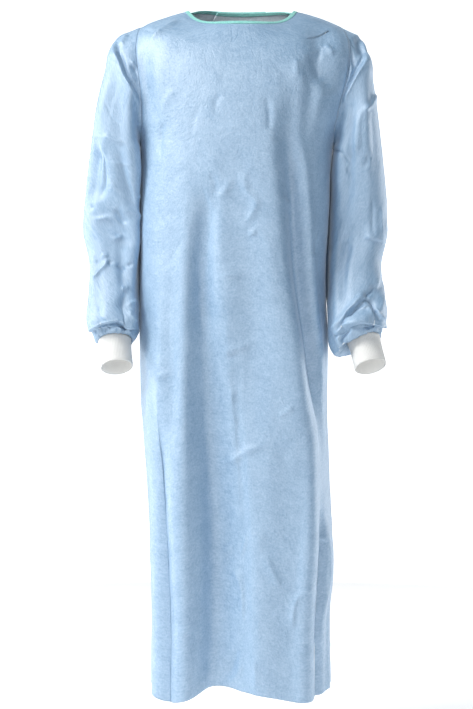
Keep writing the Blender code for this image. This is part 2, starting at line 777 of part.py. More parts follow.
def tie_tail(collection, name, slant, rest):
    """A tape's free end, hanging from the knot."""
    knot = knot_place()[0]
    top = TIE_HEIGHT - KNOT_HEIGHT / MM / 2.0 - TAIL_GAP
    rows = []
    for step in range(TAIL_STEPS + 1):
        share = 1.0 - step / TAIL_STEPS
        row = row_at(top - TAIL_LENGTH * share)
        middle = knot + slant * blend(TAIL_START, 1.0, share)
        half = math.degrees(TAIL_WIDTH * MM / 2.0 / body_point(middle, row).xy.length)
        lift = surface_lift(middle) + rest + TIE_WALL
        rows.append([lifted_point(middle + part * half, row, lift) for part in (-1.0, 0.0, 1.0)])
    return cloth_grid(collection, name, rows, False, NONWOVEN, TIE_WALL)


def knot_place():
    """Angle of the knot, its middle point, its frame and its width along the tapes."""
    angles = back_angles(None)
    left, right = angles[LEFT_TIE_COLUMNS[1]], angles[RIGHT_TIE_COLUMNS[0]]
    angle = (left + right) / 2.0
    lift = TIE_REST + TIE_WALL / 2.0 + TIE_RISE
    row = row_at(TIE_HEIGHT)
    ends = [lifted_point(end, row, lift) for end in (left, right)]
    along = ends[1] - ends[0]
    return angle, (ends[0] + ends[1]) / 2.0, along.normalized(), along.length - KNOT_PLAY


def waist_knot(collection):
    """The knot of the two tapes."""
    _, middle, along, width = knot_place()
    up = Vector((0.0, 0.0, 1.0))
    inwards = up.cross(along).normalized()
    mesh = bpy.data.meshes.new("waist_knot")
    form = bmesh.new()
    bmesh.ops.create_cube(form, size=1.0)
    for vertex in form.verts:
        x, y, z = vertex.co
        vertex.co = middle + along * x * width + inwards * y * KNOT_THICKNESS
        vertex.co += up * z * KNOT_HEIGHT
    form.to_mesh(mesh)
    form.free()
    mesh.materials.append(cloth_material("waist_knot", NONWOVEN))
    item = bpy.data.objects.new("waist_knot", mesh)
    collection.objects.link(item)
    rounding = item.modifiers.new("rounding", "BEVEL")
    rounding.width = KNOT_ROUNDING
    rounding.segments = 2
    return item


def main():
    """Build the gown."""
    clear_scene()
    gown = new_collection("surgical_gown")
    front_panel(gown)
    back_panel(gown, "back_panel_left", 1.0, False)
    back_panel(gown, "back_panel_right", -1.0, True)
    for side, name in ((1.0, "left"), (-1.0, "right")):
        sleeve(gown, f"sleeve_{name}", side)
        cuff(gown, f"cuff_{name}", side)
    neck_binding(gown)
    neck_fastener(gown)
    waist_tie(gown, "waist_tie_left", LEFT_TIE_COLUMNS, True)
    waist_tie(gown, "waist_tie_right", RIGHT_TIE_COLUMNS, False)
    waist_knot(gown)
    for name, slant, rest in zip(("tie_tail_left", "tie_tail_right"), TAIL_SLANTS, TAIL_RESTS):
        tie_tail(gown, name, slant, rest)


main()
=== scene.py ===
"""Looks of the surgical gown: cloth, cuffs, binding and tapes, with floor, light and camera.

Metres, +Z up.  The front faces -Y and the wearer's left is +X.  Rows of the tables are in
millimetres and degrees.  The cloth follows the same rings and folds as the solids that it
stands for, on a much finer grid, and gets its creases, seams and texture here.
"""
from __future__ import annotations

import logging
import math
import random
from dataclasses import dataclass
from enum import Enum
from typing import NamedTuple, Sequence

import bpy
import numpy as np
from bpy.types import ID, Material, Mesh, Node, NodeSocket, NodeTree, Object
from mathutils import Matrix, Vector


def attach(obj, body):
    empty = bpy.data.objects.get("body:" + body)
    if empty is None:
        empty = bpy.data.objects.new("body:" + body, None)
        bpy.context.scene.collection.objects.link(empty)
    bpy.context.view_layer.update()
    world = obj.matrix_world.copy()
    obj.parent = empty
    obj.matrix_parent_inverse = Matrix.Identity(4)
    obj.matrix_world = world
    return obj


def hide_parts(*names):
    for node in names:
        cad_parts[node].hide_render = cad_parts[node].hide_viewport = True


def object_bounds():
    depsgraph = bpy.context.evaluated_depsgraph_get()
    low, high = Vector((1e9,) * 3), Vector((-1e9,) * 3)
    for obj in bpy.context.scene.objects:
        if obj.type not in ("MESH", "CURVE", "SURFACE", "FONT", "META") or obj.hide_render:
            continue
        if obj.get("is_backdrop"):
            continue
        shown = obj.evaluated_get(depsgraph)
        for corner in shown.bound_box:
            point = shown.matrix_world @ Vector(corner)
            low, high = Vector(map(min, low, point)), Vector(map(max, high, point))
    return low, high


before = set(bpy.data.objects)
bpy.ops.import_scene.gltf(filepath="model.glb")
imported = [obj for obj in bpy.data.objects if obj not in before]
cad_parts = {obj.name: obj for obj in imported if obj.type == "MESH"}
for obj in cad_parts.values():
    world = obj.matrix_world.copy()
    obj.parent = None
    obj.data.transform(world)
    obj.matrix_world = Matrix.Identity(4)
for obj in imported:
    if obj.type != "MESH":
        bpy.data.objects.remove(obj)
CAD_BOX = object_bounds()

LOG = logging.getLogger("gown")
Array = np.ndarray
Colour = tuple[float, float, float]
Colour4 = tuple[float, float, float, float]
MM = 0.001

# ---- cloth ---------------------------------------------------------------
CLOTH_WALL = 0.8                # wall of the finished cloth, inwards from its surface
LAYER_STEP = 4.4                # the outer back lies this far outside the inner back
SEAM_FADE = 7.0                 # creases die away this close to a seam
FAINT_FADE = 70.0               # the faint creases start this far below a neck or shoulder edge
ROOT_BODY = "root"
UV_NAME = "cloth"               # every cloth piece is laid out flat, in metres, in this map
WELD_GAP = 0.01                 # ends of a closed piece that lie this close become one

# ---- how finely the cloth is divided ---------------------------------------
SKIRT_ROWS, ARMHOLE_ROWS, SHOULDER_ROWS = 258, 64, 16
FRONT_COLUMNS, BACK_COLUMNS = 144, 70
CAP_ROWS, TUBE_ROWS, TURN_UNDER_ROWS = 76, 168, 6
SLEEVE_COLUMNS = 184

# ---- where the gown is looked at from, in metres ---------------------------
VIEWER = (-0.0089, -2.9, -0.647)
VIEW_HEIGHT_ANGLE = 26.0        # degrees from the frame's bottom to its top


def table_of(kind: type, rows: Sequence[tuple]) -> tuple:
    """A table whose rows are things of one kind."""
    return tuple(kind(*row) for row in rows)


class Ring(NamedTuple):
    """One level ring of the body: the sleeves start where its sides are cut away."""

    name: str
    side_z: float
    front_z: float
    back_z: float
    half_width: float
    front: float
    back: float
    squareness: float
    shift: float
    level: float


BODY_RINGS = table_of(Ring, (
    # name         side_z front_z back_z width front back square shift level
    ("hem",         -1262, -1261, -1268, 165, 114, 130, 2.30,   3, 2.0),
    ("shin",        -1130, -1132, -1132, 164, 114, 127, 2.30,   1, 2.0),
    ("knee",         -990,  -992,  -991, 169, 113, 122, 2.30,   0, 2.0),
    ("low thigh",    -870,  -870,  -870, 170, 112, 118, 2.35,  -6, 2.0),
    ("thigh",        -740,  -740,  -740, 173, 114, 115, 2.40, -12, 2.0),
    ("hip",          -620,  -620,  -620, 176, 117, 114, 2.40, -13, 2.0),
    ("waist",        -500,  -500,  -500, 174, 121, 115, 2.40, -15, 2.0),
    ("ribs",         -380,  -382,  -381, 177, 126, 117, 2.40, -12, 2.0),
    ("underarm",     -255,  -262,  -260, 181, 130, 119, 2.40,  -8, 2.0),
    ("low chest",    -205,  -218,  -212, 194, 130, 118, 2.40,  -3, 2.0),
    ("chest",        -152,  -180,  -170, 210, 128, 116, 2.40,   1, 2.0),
    ("high chest",   -102,  -145,  -125, 218, 124, 113, 2.40,   3, 2.0),
    ("yoke",          -60,  -114,   -85, 212, 118, 109, 2.35,   3, 2.2),
    ("shoulder tip",  -30,   -84,   -48, 186, 107, 101, 2.30,   0, 2.6),
    ("collar",        -11,   -54,   -12, 138,  92,  86, 2.25,   0, 4.0),
    ("neck",            0,   -35,    13, 100,  80,  72, 2.20,   0, 6.0),
))
ROW = {ring.name: index for index, ring in enumerate(BODY_RINGS)}
TOP_ROW = len(BODY_RINGS) - 1
FRONT_SCOOP, BACK_SCOOP = 29.0, 24.0    # degrees that an armhole cuts into each side
SEAM_ANGLE = 90.0               # of a side seam, from the front centre
OVERLAP = 25.0                  # degrees that each back reaches past the back centre
LIFT_FROM, LIFT_FULL = 108.0, 148.0     # degrees between which the outer back steps outwards


class Fold(NamedTuple):
    """A long soft fold of the body: a ridge, or a trough where its depth is negative."""

    name: str
    top: float
    low: float
    at_top: float
    at_middle: float
    at_low: float
    width_top: float
    width_low: float
    depth: float
    fade_top: float
    fade_low: float


BODY_FOLDS = table_of(Fold, (
    # name              top    low at_top    mid at_low  w_top w_low depth f_top f_low
    ("long trough",    -250, -1500,  -18.0, -14.5, -22.0,  5, 13, -26, 620, 1),
    ("slant trough",   -120,  -900,   20.0,  42.0,  62.0,  6,  8, -17, 260, 260),
    ("slant ridge",    -160,  -860,    6.0,  22.0,  38.0,  8, 11,   8, 300, 300),
    ("low right dip",  -860, -1500,   58.0,  49.0,  50.0,  6,  7, -14, 200, 1),
    ("low right lip",  -880, -1500,   75.0,  72.0,  68.0,  5,  6,   5, 160, 1),
    ("chest dip",       -90,  -330,   26.0,  36.0,  46.0,  4,  5,  -5, 90, 110),
    ("left chest dip",  -50,  -240,  -52.0, -54.0, -55.0,  7,  8,  -6, 80, 90),
    ("left side lip",  -600, -1500,  -64.0, -65.0, -62.0,  7,  9,   6, 260, 1),
    ("left side dip",  -640, -1500,  -50.0, -48.0, -46.0,  6,  9,  -8, 260, 1),
    ("middle swell",   -560, -1500,    8.0,   6.0,   8.0, 12, 17,   7, 400, 1),
    ("left hip dip",   -380, -1500, -104.0, -112., -118.,  8, 13, -14, 460, 1),
    ("right hip dip",  -420, -1500,  108.0, 116.0, 122.0,  8, 12, -15, 420, 1),
    ("left back dip",  -200, -1500, -142.0, -150., -154.,  7, 12, -13, 500, 1),
    ("right back dip", -260, -1500,  140.0, 150.0, 158.0,  7, 12, -16, 520, 1),
    ("back swell",     -350, -1500,  180.0, 178.0, 176.0, 12, 16,   8, 500, 1),
))
RIM_SHARE, RIM_AT, RIM_SHARPNESS = 0.30, 1.75, 1.4     # of the soft rims beside a fold
HEM_RISE = 0.25                 # share of a trough's depth by which the hem rises in it
HEM_REACH = 260.0


class HemDip(NamedTuple):
    """A stretch of the hem that hangs lower than the rest."""

    name: str
    angle: float
    width: float
    drop: float


HEM_DIPS = table_of(HemDip, (
    ("left front", -48.0, 21.0, 24.0),
    ("right front", 38.0, 27.0, 20.0),
    ("back", 160.0, 40.0, 8.0),
))


class SleeveRing(NamedTuple):
    """One ring of a sleeve.  x counts outwards from the gown's middle plane."""

    name: str
    z: float
    x: float
    y: float
    half_width: float
    half_depth: float
    outer_rise: float
    front_rise: float
    tuck: float
    gather: float


LEFT_SLEEVE = table_of(SleeveRing, (
    # name           z    x    y width depth out_rise front_rise tuck gather
    ("upper arm", -255, 215,   4,  43,  82,   45,   0, 12, 0.0),
    ("biceps",    -340, 221,  10,  51,  73,   18,   2, 24, 0.0),
    ("elbow",     -422, 223,  14,  55,  67,    5,   8, 26, 0.0),
    ("below it",  -484, 215,   3,  49,  62,    2,  15, 24, 0.0),
    ("forearm",   -530, 215, -17,  51,  58,    4,  19, 14, 0.6),
    ("blouse",    -574, 216, -37,  53,  57,    8,  20,  4, 1.8),
    ("overhang",  -606, 214, -49,  49,  52,   20,  18,  0, 3.2),
    ("turn",      -624, 217, -56,  42,  42,   24,  14,  0, 3.2),
))
RIGHT_SLEEVE = table_of(SleeveRing, (
    ("upper arm", -255, 236,   6,  41,  82,   45,   0, 12, 0.0),
    ("biceps",    -340, 242,  14,  48,  73,   18,   2, 26, 0.0),
    ("elbow",     -415, 247,  20,  53,  67,    5,   8, 30, 0.0),
    ("below it",  -475, 241,  12,  47,  62,    0,  15, 30, 0.0),
    ("forearm",   -527, 241,  -4,  46,  58,    0,  19, 16, 0.6),
    ("blouse",    -572, 240, -22,  47,  56,    2,  20,  6, 1.8),
    ("overhang",  -597, 235, -34,  44,  51,    2,  18,  4, 3.2),
    ("turn",      -613, 235, -42,  37,  41,    2,  14,  0, 3.2),
))
GATHERS = 8
TUCK_PEAK = 1.35                # of the sleeve's hidden side behind the body
CAP_SPREAD = 0.85               # how far the cap runs on sideways from the armhole
CAP_DROP = 0.34
CAP_AIM = 0.2
CORNER, CORNER_LIFT = 11.0, 0.3         # the cap's shoulder stands out and up this much
CORNER_AT, CORNER_WIDTH = 0.24, 0.15
SLEEVE_SQUARENESS = 2.9         # of its front half, 2 is an ellipse
INNER_LEAVE = 0.55              # how much straighter down the cap leaves the underarm


class SleeveFold(NamedTuple):
    """A fold of a sleeve.  Angle 0 is its outer side, 90 its front, 180 its inner side."""

    name: str
    top: float
    low: float
    at_top: float
    at_low: float
    width: float
    depth: float


LEFT_SLEEVE_FOLDS = table_of(SleeveFold, (
    # name            top   low at_top at_low width depth
    ("front trough", -200, -430,  96.0, 120.0, 15,  -7),
    ("upper ridge",  -150, -330,  78.0,  88.0, 12,   5),
    ("elbow dent",   -400, -520, 100.0, 130.0, 18,  -8),
    ("wrist slant",  -520, -640,  40.0, 130.0, 14,   6),
    ("hollow",       -500, -590,  20.0, 100.0, 15,  -7),
    ("back trough",  -220, -560, 262.0, 240.0, 18,  -9),
    ("back ridge",   -300, -600, 300.0, 285.0, 16,   6),
    ("outer dent",   -360, -500,  20.0,  -8.0, 16,  -6),
))
RIGHT_SLEEVE_FOLDS = table_of(SleeveFold, (
    ("front trough", -230, -380,  48.0,  56.0, 14,  -8),
    ("long ridge",   -240, -400,  72.0, 112.0, 14,   7),
    ("elbow arc",    -380, -450,  40.0, 110.0, 14,   6),
    ("elbow dent",   -430, -540, 100.0, 120.0, 18,  -8),
    ("low ridge",    -450, -540,  40.0,  60.0, 14,   6),
    ("back trough",  -220, -560, 258.0, 245.0, 18,  -9),
    ("back ridge",   -300, -600, 300.0, 290.0, 16,   6),
    ("low dent",     -520, -600, 130.0,  90.0, 14,  -6),
))


class CuffShape(NamedTuple):
    """A knitted cuff, a tube from the gathered sleeve end to the hand.  x counts outwards."""

    top: tuple[float, float, float]
    low: tuple[float, float, float]
    top_radius: float
    waist_radius: float
    low_radius: float


LEFT_CUFF = CuffShape((227, -58, -621), (237, -84, -669), 31.0, 29.6, 29.8)
RIGHT_CUFF = CuffShape((235.5, -44, -622), (229.5, -70, -670), 31.0, 29.8, 30.0)

# ---- waist tapes and binding -------------------------------------------------
TIE_HEIGHT, TIE_WIDTH = -430.0, 24.0
TIE_REST = 0.8                  # a tape's sewn end lies this far outside the back
TIE_RISE = 9.5                  # how far it rises from there to the knot
BACK_STEPS = 12                 # steps that the tapes' ends are counted in, along a back
LEFT_TIE_STEPS, RIGHT_TIE_STEPS = (3, 7), (9, 12)
TAIL_LENGTH, TAIL_WIDTH = 230.0, 21.6
TAIL_START = 0.35               # share of its slant that a loose end starts with
TAIL_SLANTS, TAIL_RESTS = (-9.0, 5.0), (6.5, 4.0)
KNOT_PLAY = 2.4                 # the knot is this much narrower than the gap between the tapes
KNOT_THICKNESS, KNOT_HEIGHT = 12.0, 30.0
BINDING_WIDTH = 6.4


class Lay(Enum):
    """How the cloth lies along a crease."""

    LINE = 0                    # the same on both sides
    OVER_LEFT = 1               # the cloth on its left, going along it, lies over the rest
    OVER_RIGHT = -1


class Crease(NamedTuple):
    """A crease along a line of (x, z) places, as seen square on."""

    name: str
    points: tuple[tuple[float, float], ...]
    width: float                # from its line to where it has mostly gone
    height: float               # a ridge, or a trough where it is negative
    crisp: float                # 0 is round, 1 a sharp edge
    lay: Lay = Lay.LINE


FRONT_CREASES = table_of(Crease, (
    ("neck to shoulder", ((-116, -15), (-152, -36), (-175, -57)), 6, 3.2, 0.8),
    ("upper left tick", ((-146, -203), (-154, -241), (-152, -279)), 6, -1.8, 0.6),
    ("breast tick", ((-34, -153), (-47, -168), (-47, -193)), 6, -1.0, 0.5),
    ("breast line", ((47, -155), (53, -193), (53, -229)), 6, -1.5, 0.5),
    ("right breast line", ((88, -203), (66, -249)), 6, -1.5, 0.5),
    ("chest fork left", ((-19, -309), (-29, -335), (-40, -351)), 5, 1.9, 0.8),
    ("chest fork", ((5, -292), (9, -335), (28, -360), (6, -410)), 6, 2.1, 0.7),
    ("chest dot", ((19, -412), (26, -420)), 6, 1.8, 0.4),
    ("chest left", ((-67, -329), (-52, -375)), 5, 1.5, 0.7),
    ("chest left dip", ((-57, -299), (-42, -350)), 6, -1.5, 0.5),
    ("chest right", ((75, -350), (95, -365)), 5, 1.6, 0.7),
    ("waist cross", ((-42, -498), (-1, -498)), 5, 1.6, 0.7),
    ("right rib", ((141, -425), (142, -463)), 5, -1.5, 0.5),
    ("waist long", ((-46, -644), (23, -628)), 6, 1.9, 0.7),
    ("waist long dip", ((-38, -655), (2, -644)), 5, -1.6, 0.6),
    ("left hip", ((-165, -697), (-125, -676)), 6, 1.6, 0.6),
    ("lap left", ((-19, -708), (-30, -745)), 6, 1.8, 0.7),
    ("lap cluster", ((-29, -765), (-15, -779)), 5, 1.6, 0.6),
    ("lap right", ((68, -766), (98, -745)), 6, 1.5, 0.6),
    ("thigh slant", ((-51, -860), (-20, -844), (53, -815)), 8, 2.6, 0.6),
    ("knee left tick", ((-36, -1005), (-44, -1032)), 5, 1.7, 0.7),
    ("knee slant", ((8, -987), (-22, -1035)), 6, 2.0, 0.7),
    ("knee cross", ((12, -987), (52, -997)), 5, 1.6, 0.7),
    ("knee right", ((44, -1024), (75, -1092)), 7, 2.0, 0.6),
    ("shin bow", ((-40, -1040), (-16, -1092), (-10, -1163)), 8, 2.8, 0.6),
    ("shin right bow", ((127, -1088), (99, -1111), (91, -1172)), 8, 2.8, 0.6),
    ("shin left", ((-89, -1151), (-113, -1181)), 5, 1.5, 0.6),
    ("hem fan one", ((-40, -1207), (-56, -1266)), 7, 2.3, 0.6),
    ("hem fan dip", ((-24, -1199), (-40, -1263)), 6, -2.3, 0.6),
    ("hem fan two", ((-8, -1230), (-40, -1280)), 6, 2.0, 0.6),
    ("hem middle", ((28, -1230), (30, -1286)), 6, 1.8, 0.6),
    ("hem cross", ((83, -1211), (115, -1213)), 5, 1.4, 0.6),
    ("right thigh tick", ((143, -987), (158, -997)), 5, 1.6, 0.6),
    ("low right ridge",
     ((160, -943), (162, -1062), (150, -1128), (146, -1168), (145, -1247)), 9, 4.5, 0.4),
    ("shoulder shade", ((137, -70), (142, -96), (151, -132)), 12, -3.6, 0.0),
    ("shoulder lobe", ((150, -36), (156, -68), (160, -96)), 8, 0.7, 0.3),
    ("shoulder notch", ((154, -59), (151, -76), (147, -91)), 6, -1.3, 0.5),
    ("shoulder lip", ((160, -55), (172, -72), (177, -81)), 5, 2.0, 0.6),
    ("right chest streak", ((105, -85), (104, -121)), 6, 1.2, 0.4),
    ("left chest bow", ((-153, -200), (-140, -163), (-116, -144)), 7, 0.8, 0.4),
))
FRONT_DRAPE = table_of(Crease, (    # broad unevenness between the long folds
    ("shoulder sag", ((149, -10), (152, -60), (158, -104), (165, -160)), 25, -10, 0.0),
    ("upper trough", ((-60, -300), (-61, -355), (-70, -450), (-72, -544), (-70, -640)),
     16, -9.0, 0.0),
    ("trough foot", ((-53, -420), (-52, -720), (-50, -1000), (-50, -1700)), 18, -7, 0.0),
    ("trough cut", ((-21, -460), (-19, -700), (-17, -1000), (-17, -1700)), 25, -17, 0.0),
    ("trough side", ((-39, -430), (-38, -700), (-36, -1000), (-36, -1700)), 15, -5, 0.0),
    ("trough rim", ((-106, -300), (-109, -700), (-110, -1000), (-110, -1700)), 15, 6, 0.0),
    ("left edge fill", ((-151, -420), (-150, -700), (-150, -1700)), 16, 13, 0.0),
    ("middle low", ((12, -440), (13, -700), (14, -1000), (14, -1700)), 34, -17, 0.0),
    ("middle right", ((104, -480), (110, -720), (112, -1000), (112, -1700)), 30, 10, 0.0),
    ("side fill", ((134, -600), (131, -760), (127, -950), (124, -1700)), 15, 9, 0.0),
    ("left side fill", ((-130, -700), (-128, -1000), (-128, -1700)), 17, 11, 0.0),
))
RIGHT_SLEEVE_CREASES = table_of(Crease, (
    ("inner swell", ((-215, -40), (-213, -160), (-211, -300), (-208, -430), (-205, -560)),
     12, 6.5, 0.0),
    ("inner corner", ((-205, -215), (-204, -290), (-203, -400), (-202, -500)), 14, 6.5, 0.0),
    ("shoulder fold",
     ((-237, -50), (-234, -77), (-226, -99), (-219, -121), (-207, -144), (-194, -163),
      (-184, -182)), 4, 6.0, 0.0, Lay.OVER_RIGHT),
    ("seam trough", ((-209, -101), (-188, -124)), 4, -3.8, 0.5),
    ("seam ridge", ((-211, -92), (-186, -112)), 3.5, 2.6, 0.6),
    ("seam top", ((-198, -54), (-186, -80)), 3.5, -2.2, 0.6),
    ("shoulder arc", ((-212, -43), (-222, -51), (-227, -66)), 4.5, 2.2, 0.6),
    ("upper peak left", ((-278, -247), (-266, -232)), 5, 3.0, 0.8),
    ("upper peak right", ((-266, -232), (-245, -240), (-218, -251)), 5, 2.8, 0.7),
    ("upper hollow",
     ((-269, -248), (-261, -280), (-259, -310), (-265, -340), (-273, -363)), 11, -7, 0.2),
    ("hollow side", ((-270, -249), (-254, -283), (-252, -313), (-220, -349)), 5, 2.6, 0.7),
    ("short bright", ((-252, -287), (-207, -288)), 2.8, 2.0, 0.9),
    ("long slant", ((-250, -323), (-222, -352), (-198, -373)), 3, -1.6, 0.8),
    ("inner slant", ((-210, -341), (-193, -359)), 3, 2.0, 0.8),
    ("elbow ridge", ((-231, -369), (-206, -384), (-199, -397)), 4, 2.8, 0.7),
    ("elbow dip", ((-239, -370), (-217, -401)), 5, -3.2, 0.4),
    ("elbow arc",
     ((-284, -386), (-271, -391), (-251, -388), (-237, -393), (-217, -417)), 5, 3.2, 0.6),
    ("elbow pit", ((-285, -372), (-278, -365)), 4, -2.5, 0.4),
    ("under arc", ((-247, -431), (-223, -423)), 4, 2.2, 0.7),
    ("forearm tick", ((-283, -452), (-271, -475)), 3.5, 2.0, 0.8),
    ("forearm hook", ((-264, -459), (-251, -461)), 3.5, 2.6, 0.8),
    ("forearm ridge", ((-251, -461), (-257, -478), (-283, -504)), 4, 3.2, 0.8),
    ("forearm pit", ((-254, -476), (-244, -469)), 4, -3.2, 0.4),
    ("forearm dip", ((-237, -475), (-227, -484), (-218, -493)), 4, -2.8, 0.5),
    ("forearm pit two", ((-212, -474), (-210, -484)), 4, -2.4, 0.4),
    ("bright end", ((-229, -523), (-212, -522)), 4.5, 2.2, 0.6),
    ("inner bow", ((-216, -557), (-203, -548), (-194, -541)), 3.5, 2.6, 0.7),
    ("inner bow low", ((-211, -562), (-207, -575), (-196, -589)), 3.5, 2.4, 0.7),
    ("low slant", ((-277, -555), (-263, -569), (-250, -586)), 3.5, 1.6, 0.7),
    ("overhang",
     ((-300, -612), (-286, -607), (-279, -601), (-263, -590), (-239, -586), (-230, -588),
      (-215, -599), (-193, -596), (-178, -596)), 2.5, 5.0, 0.0, Lay.OVER_LEFT),
    ("tuck one", ((-276, -610), (-271, -604), (-261, -599), (-249, -604)), 3, -4.0, 0.5),
    ("tuck two", ((-254, -591), (-245, -600)), 3, -3.2, 0.5),
    ("tuck three", ((-232, -591), (-216, -601)), 3, -4.0, 0.5),
    ("tuck crest", ((-243, -605), (-234, -595), (-223, -605)), 3, 2.4, 0.7),
))
LEFT_SLEEVE_CREASES = table_of(Crease, (
    ("shoulder fold",
     ((239, -72), (232, -91), (220, -113), (208, -136), (193, -163), (186, -178)),
     4, 6.0, 0.0, Lay.OVER_LEFT),
    ("seam crease", ((206, -68), (208, -87), (211, -97), (220, -110)), 3.5, -3.4, 0.6),
    ("cap shade", ((219, -42), (226, -62), (231, -86)), 10, -6.0, 0.2),
    ("cap line", ((185, -30), (200, -49), (217, -68)), 3.5, -2.8, 0.6),
    ("cap ridge", ((205, -78), (205, -115), (199, -144)), 4, 2.8, 0.6),
    ("outer ridge", ((256, -152), (243, -177), (228, -187)), 5, 3.2, 0.6),
    ("long ridge", ((230, -181), (222, -207), (218, -253), (217, -276)), 6, 3.4, 0.5),
    ("body crease", ((168, -261), (187, -264), (211, -289)), 3, -2.2, 0.8),
    ("faint line", ((198, -291), (211, -318)), 3, -1.3, 0.7),
    ("wedge", ((242, -265), (238, -280), (231, -297)), 5, -2.4, 0.4),
    ("elbow step", ((230, -429), (248, -429), (273, -436)), 2.8, 2.8, 0.0, Lay.OVER_LEFT),
    ("outer line", ((248, -346), (248, -429)), 4, -1.4, 0.4),
    ("edge line", ((265, -365), (265, -423)), 3, 1.6, 0.6),
    ("long trough", ((206, -416), (194, -472), (191, -510), (190, -554)), 9, -3.6, 0.2),
    ("dark patch", ((257, -512), (246, -528), (228, -538)), 7, -5.5, 0.3),
    ("main slant", ((240, -525), (210, -556), (190, -579), (176, -599), (167, -616)),
     5, 5.0, 0.6),
    ("under slant", ((232, -545), (215, -562), (203, -582)), 4.5, -5.0, 0.4),
    ("arch", ((217, -556), (233, -544), (246, -551), (250, -567), (249, -582)),
     3.5, -4.0, 0.5),
    ("arch crest", ((225, -565), (236, -556), (243, -567), (242, -584)), 4, 2.4, 0.4),
    ("outer bright", ((253, -558), (260, -572), (270, -584)), 3, 3.2, 0.7),
    ("outer dark", ((249, -561), (257, -576), (261, -586)), 3, -3.0, 0.5),
    ("overhang",
     ((168, -620), (179, -611), (192, -602), (206, -593), (226, -588), (243, -589),
      (258, -593), (285, -597)), 2.6, 6.0, 0.0, Lay.OVER_LEFT),
    ("second tuck", ((209, -595), (231, -597), (251, -595)), 3, -3.4, 0.5),
    ("ruffle left", ((193, -631), (192, -616), (202, -604), (210, -598)), 3, -4.0, 0.5),
    ("ruffle crest", ((186, -635), (183, -618), (192, -605)), 4, 3.0, 0.4),
    ("ruffle low", ((200, -637), (197, -624)), 3, -3.0, 0.5),
    ("ruffle right", ((265, -600), (262, -611), (260, -626)), 3, -3.0, 0.5),
))
BACK_CREASES = table_of(Crease, (
    ("left blade", ((120, -120), (96, -190), (84, -268)), 10, 3.4, 0.3),
    ("left blade dip", ((104, -140), (80, -210), (66, -300)), 9, -3.0, 0.3),
    ("right blade", ((-128, -110), (-100, -196), (-92, -290)), 10, 3.2, 0.3),
    ("right blade dip", ((-112, -130), (-84, -220), (-72, -300)), 9, -2.6, 0.3),
    ("yoke drag", ((-60, -40), (-20, -62), (40, -52)), 8, 1.8, 0.5),
    ("neck drag", ((70, -30), (96, -70), (118, -96)), 7, 2.0, 0.5),
    ("waist drag left", ((60, -424), (96, -408), (140, -380)), 7, 2.8, 0.5),
    ("waist drag low", ((62, -442), (100, -456), (146, -476)), 8, 2.6, 0.5),
    ("waist drag right", ((-10, -430), (-60, -412), (-118, -372)), 8, 2.8, 0.5),
    ("waist drag right low", ((-16, -446), (-70, -470), (-132, -486)), 9, 2.4, 0.4),
    ("edge pull", ((38, -452), (30, -520), (34, -610)), 9, -3.0, 0.3),
    ("seat slant", ((-120, -560), (-76, -606), (-30, -622)), 8, 2.2, 0.5),
    ("seat slant two", ((108, -590), (70, -640), (22, -668)), 8, 2.0, 0.5),
    ("thigh bow", ((-96, -700), (-72, -770), (-80, -850)), 9, 2.6, 0.4),
    ("thigh tick", ((24, -742), (6, -790)), 6, 1.8, 0.6),
    ("knee cross", ((-44, -930), (12, -912)), 6, 1.8, 0.6),
    ("knee bow", ((74, -900), (92, -980), (84, -1060)), 9, 2.6, 0.4),
    ("shin slant", ((-110, -1010), (-70, -1070)), 7, 2.0, 0.6),
    ("shin tick", ((10, -1080), (26, -1140)), 6, 1.7, 0.6),
    ("hem fan left", ((60, -1180), (74, -1250)), 7, 2.2, 0.5),
    ("hem fan dip", ((42, -1176), (50, -1256)), 7, -2.2, 0.5),
    ("hem fan right", ((-64, -1190), (-80, -1258)), 7, 2.2, 0.5),
    ("hem tick", ((-20, -1214), (-24, -1262)), 6, 1.8, 0.5),
))


# ---- shared sums -----------------------------------------------------------
def blend(a: float | Array, b: float | Array, share: float | Array) -> float | Array:
    """The value a share of the way from a to b."""
    return a + (b - a) * share


def smooth_step(value: Array) -> Array:
    """0 below 0, 1 above 1, and a smooth rise between."""
    value = np.clip(value, 0.0, 1.0)
    return value * value * (3.0 - 2.0 * value)


def signed_power(value: Array, power: Array) -> Array:
    """A power that keeps the sign."""
    return np.copysign(np.abs(value) ** power, value)


def turn_between(angle: Array, middle: Array) -> Array:
    """Degrees from one angle to another the short way round."""
    return (angle - middle + 180.0) % 360.0 - 180.0


def unit(vectors: Array) -> Array:
    """The vectors, each of length 1."""
    length = np.linalg.norm(vectors, axis=-1, keepdims=True)
    return vectors / np.maximum(length, 1e-12)


def spline(points: Sequence[Array], share: Array | float) -> Array:
    """A smooth curve between the middle two of four points, at a share of its way.

    Args:
        points: The four, in order.
        share: 0 at the second, 1 at the third.

    Returns:
        The place there.
    """
    before, a, b, after = points
    return 0.5 * (
        2.0 * a
        + (b - before) * share
        + (2.0 * before - 5.0 * a + 4.0 * b - after) * share ** 2
        + (3.0 * a - before - 3.0 * b + after) * share ** 3
    )


def quad_corners(values: Array) -> Array:
    """The values at the four corners of every quad of a grid."""
    return np.stack([values[:-1, :-1], values[:-1, 1:], values[1:, 1:], values[1:, :-1]], 2)


def round_turns(count: int) -> Array:
    """Even turns all round, in radians."""
    return np.linspace(0.0, math.tau, count, endpoint=False)


def fold_shape(offset: Array) -> Array:
    """Cross-section of a long fold: 1 on its middle line, with a soft rim on each side."""
    rim = np.exp(-((np.abs(offset) - RIM_AT) ** 2) * RIM_SHARPNESS)
    return np.exp(-offset * offset) - RIM_SHARE * rim


SCATTER = (73856093, 19349663, 83492791)        # large odd factors that mix the cells up
SEED_STEP, SEED_START, KEY_STEP, KEY_SHIFT = 7919, 17, 31, 13
LAST_FACTOR, LAST_STEP, KEY_LIMIT = 1103515245, 12345, 0x7FFFFFFF


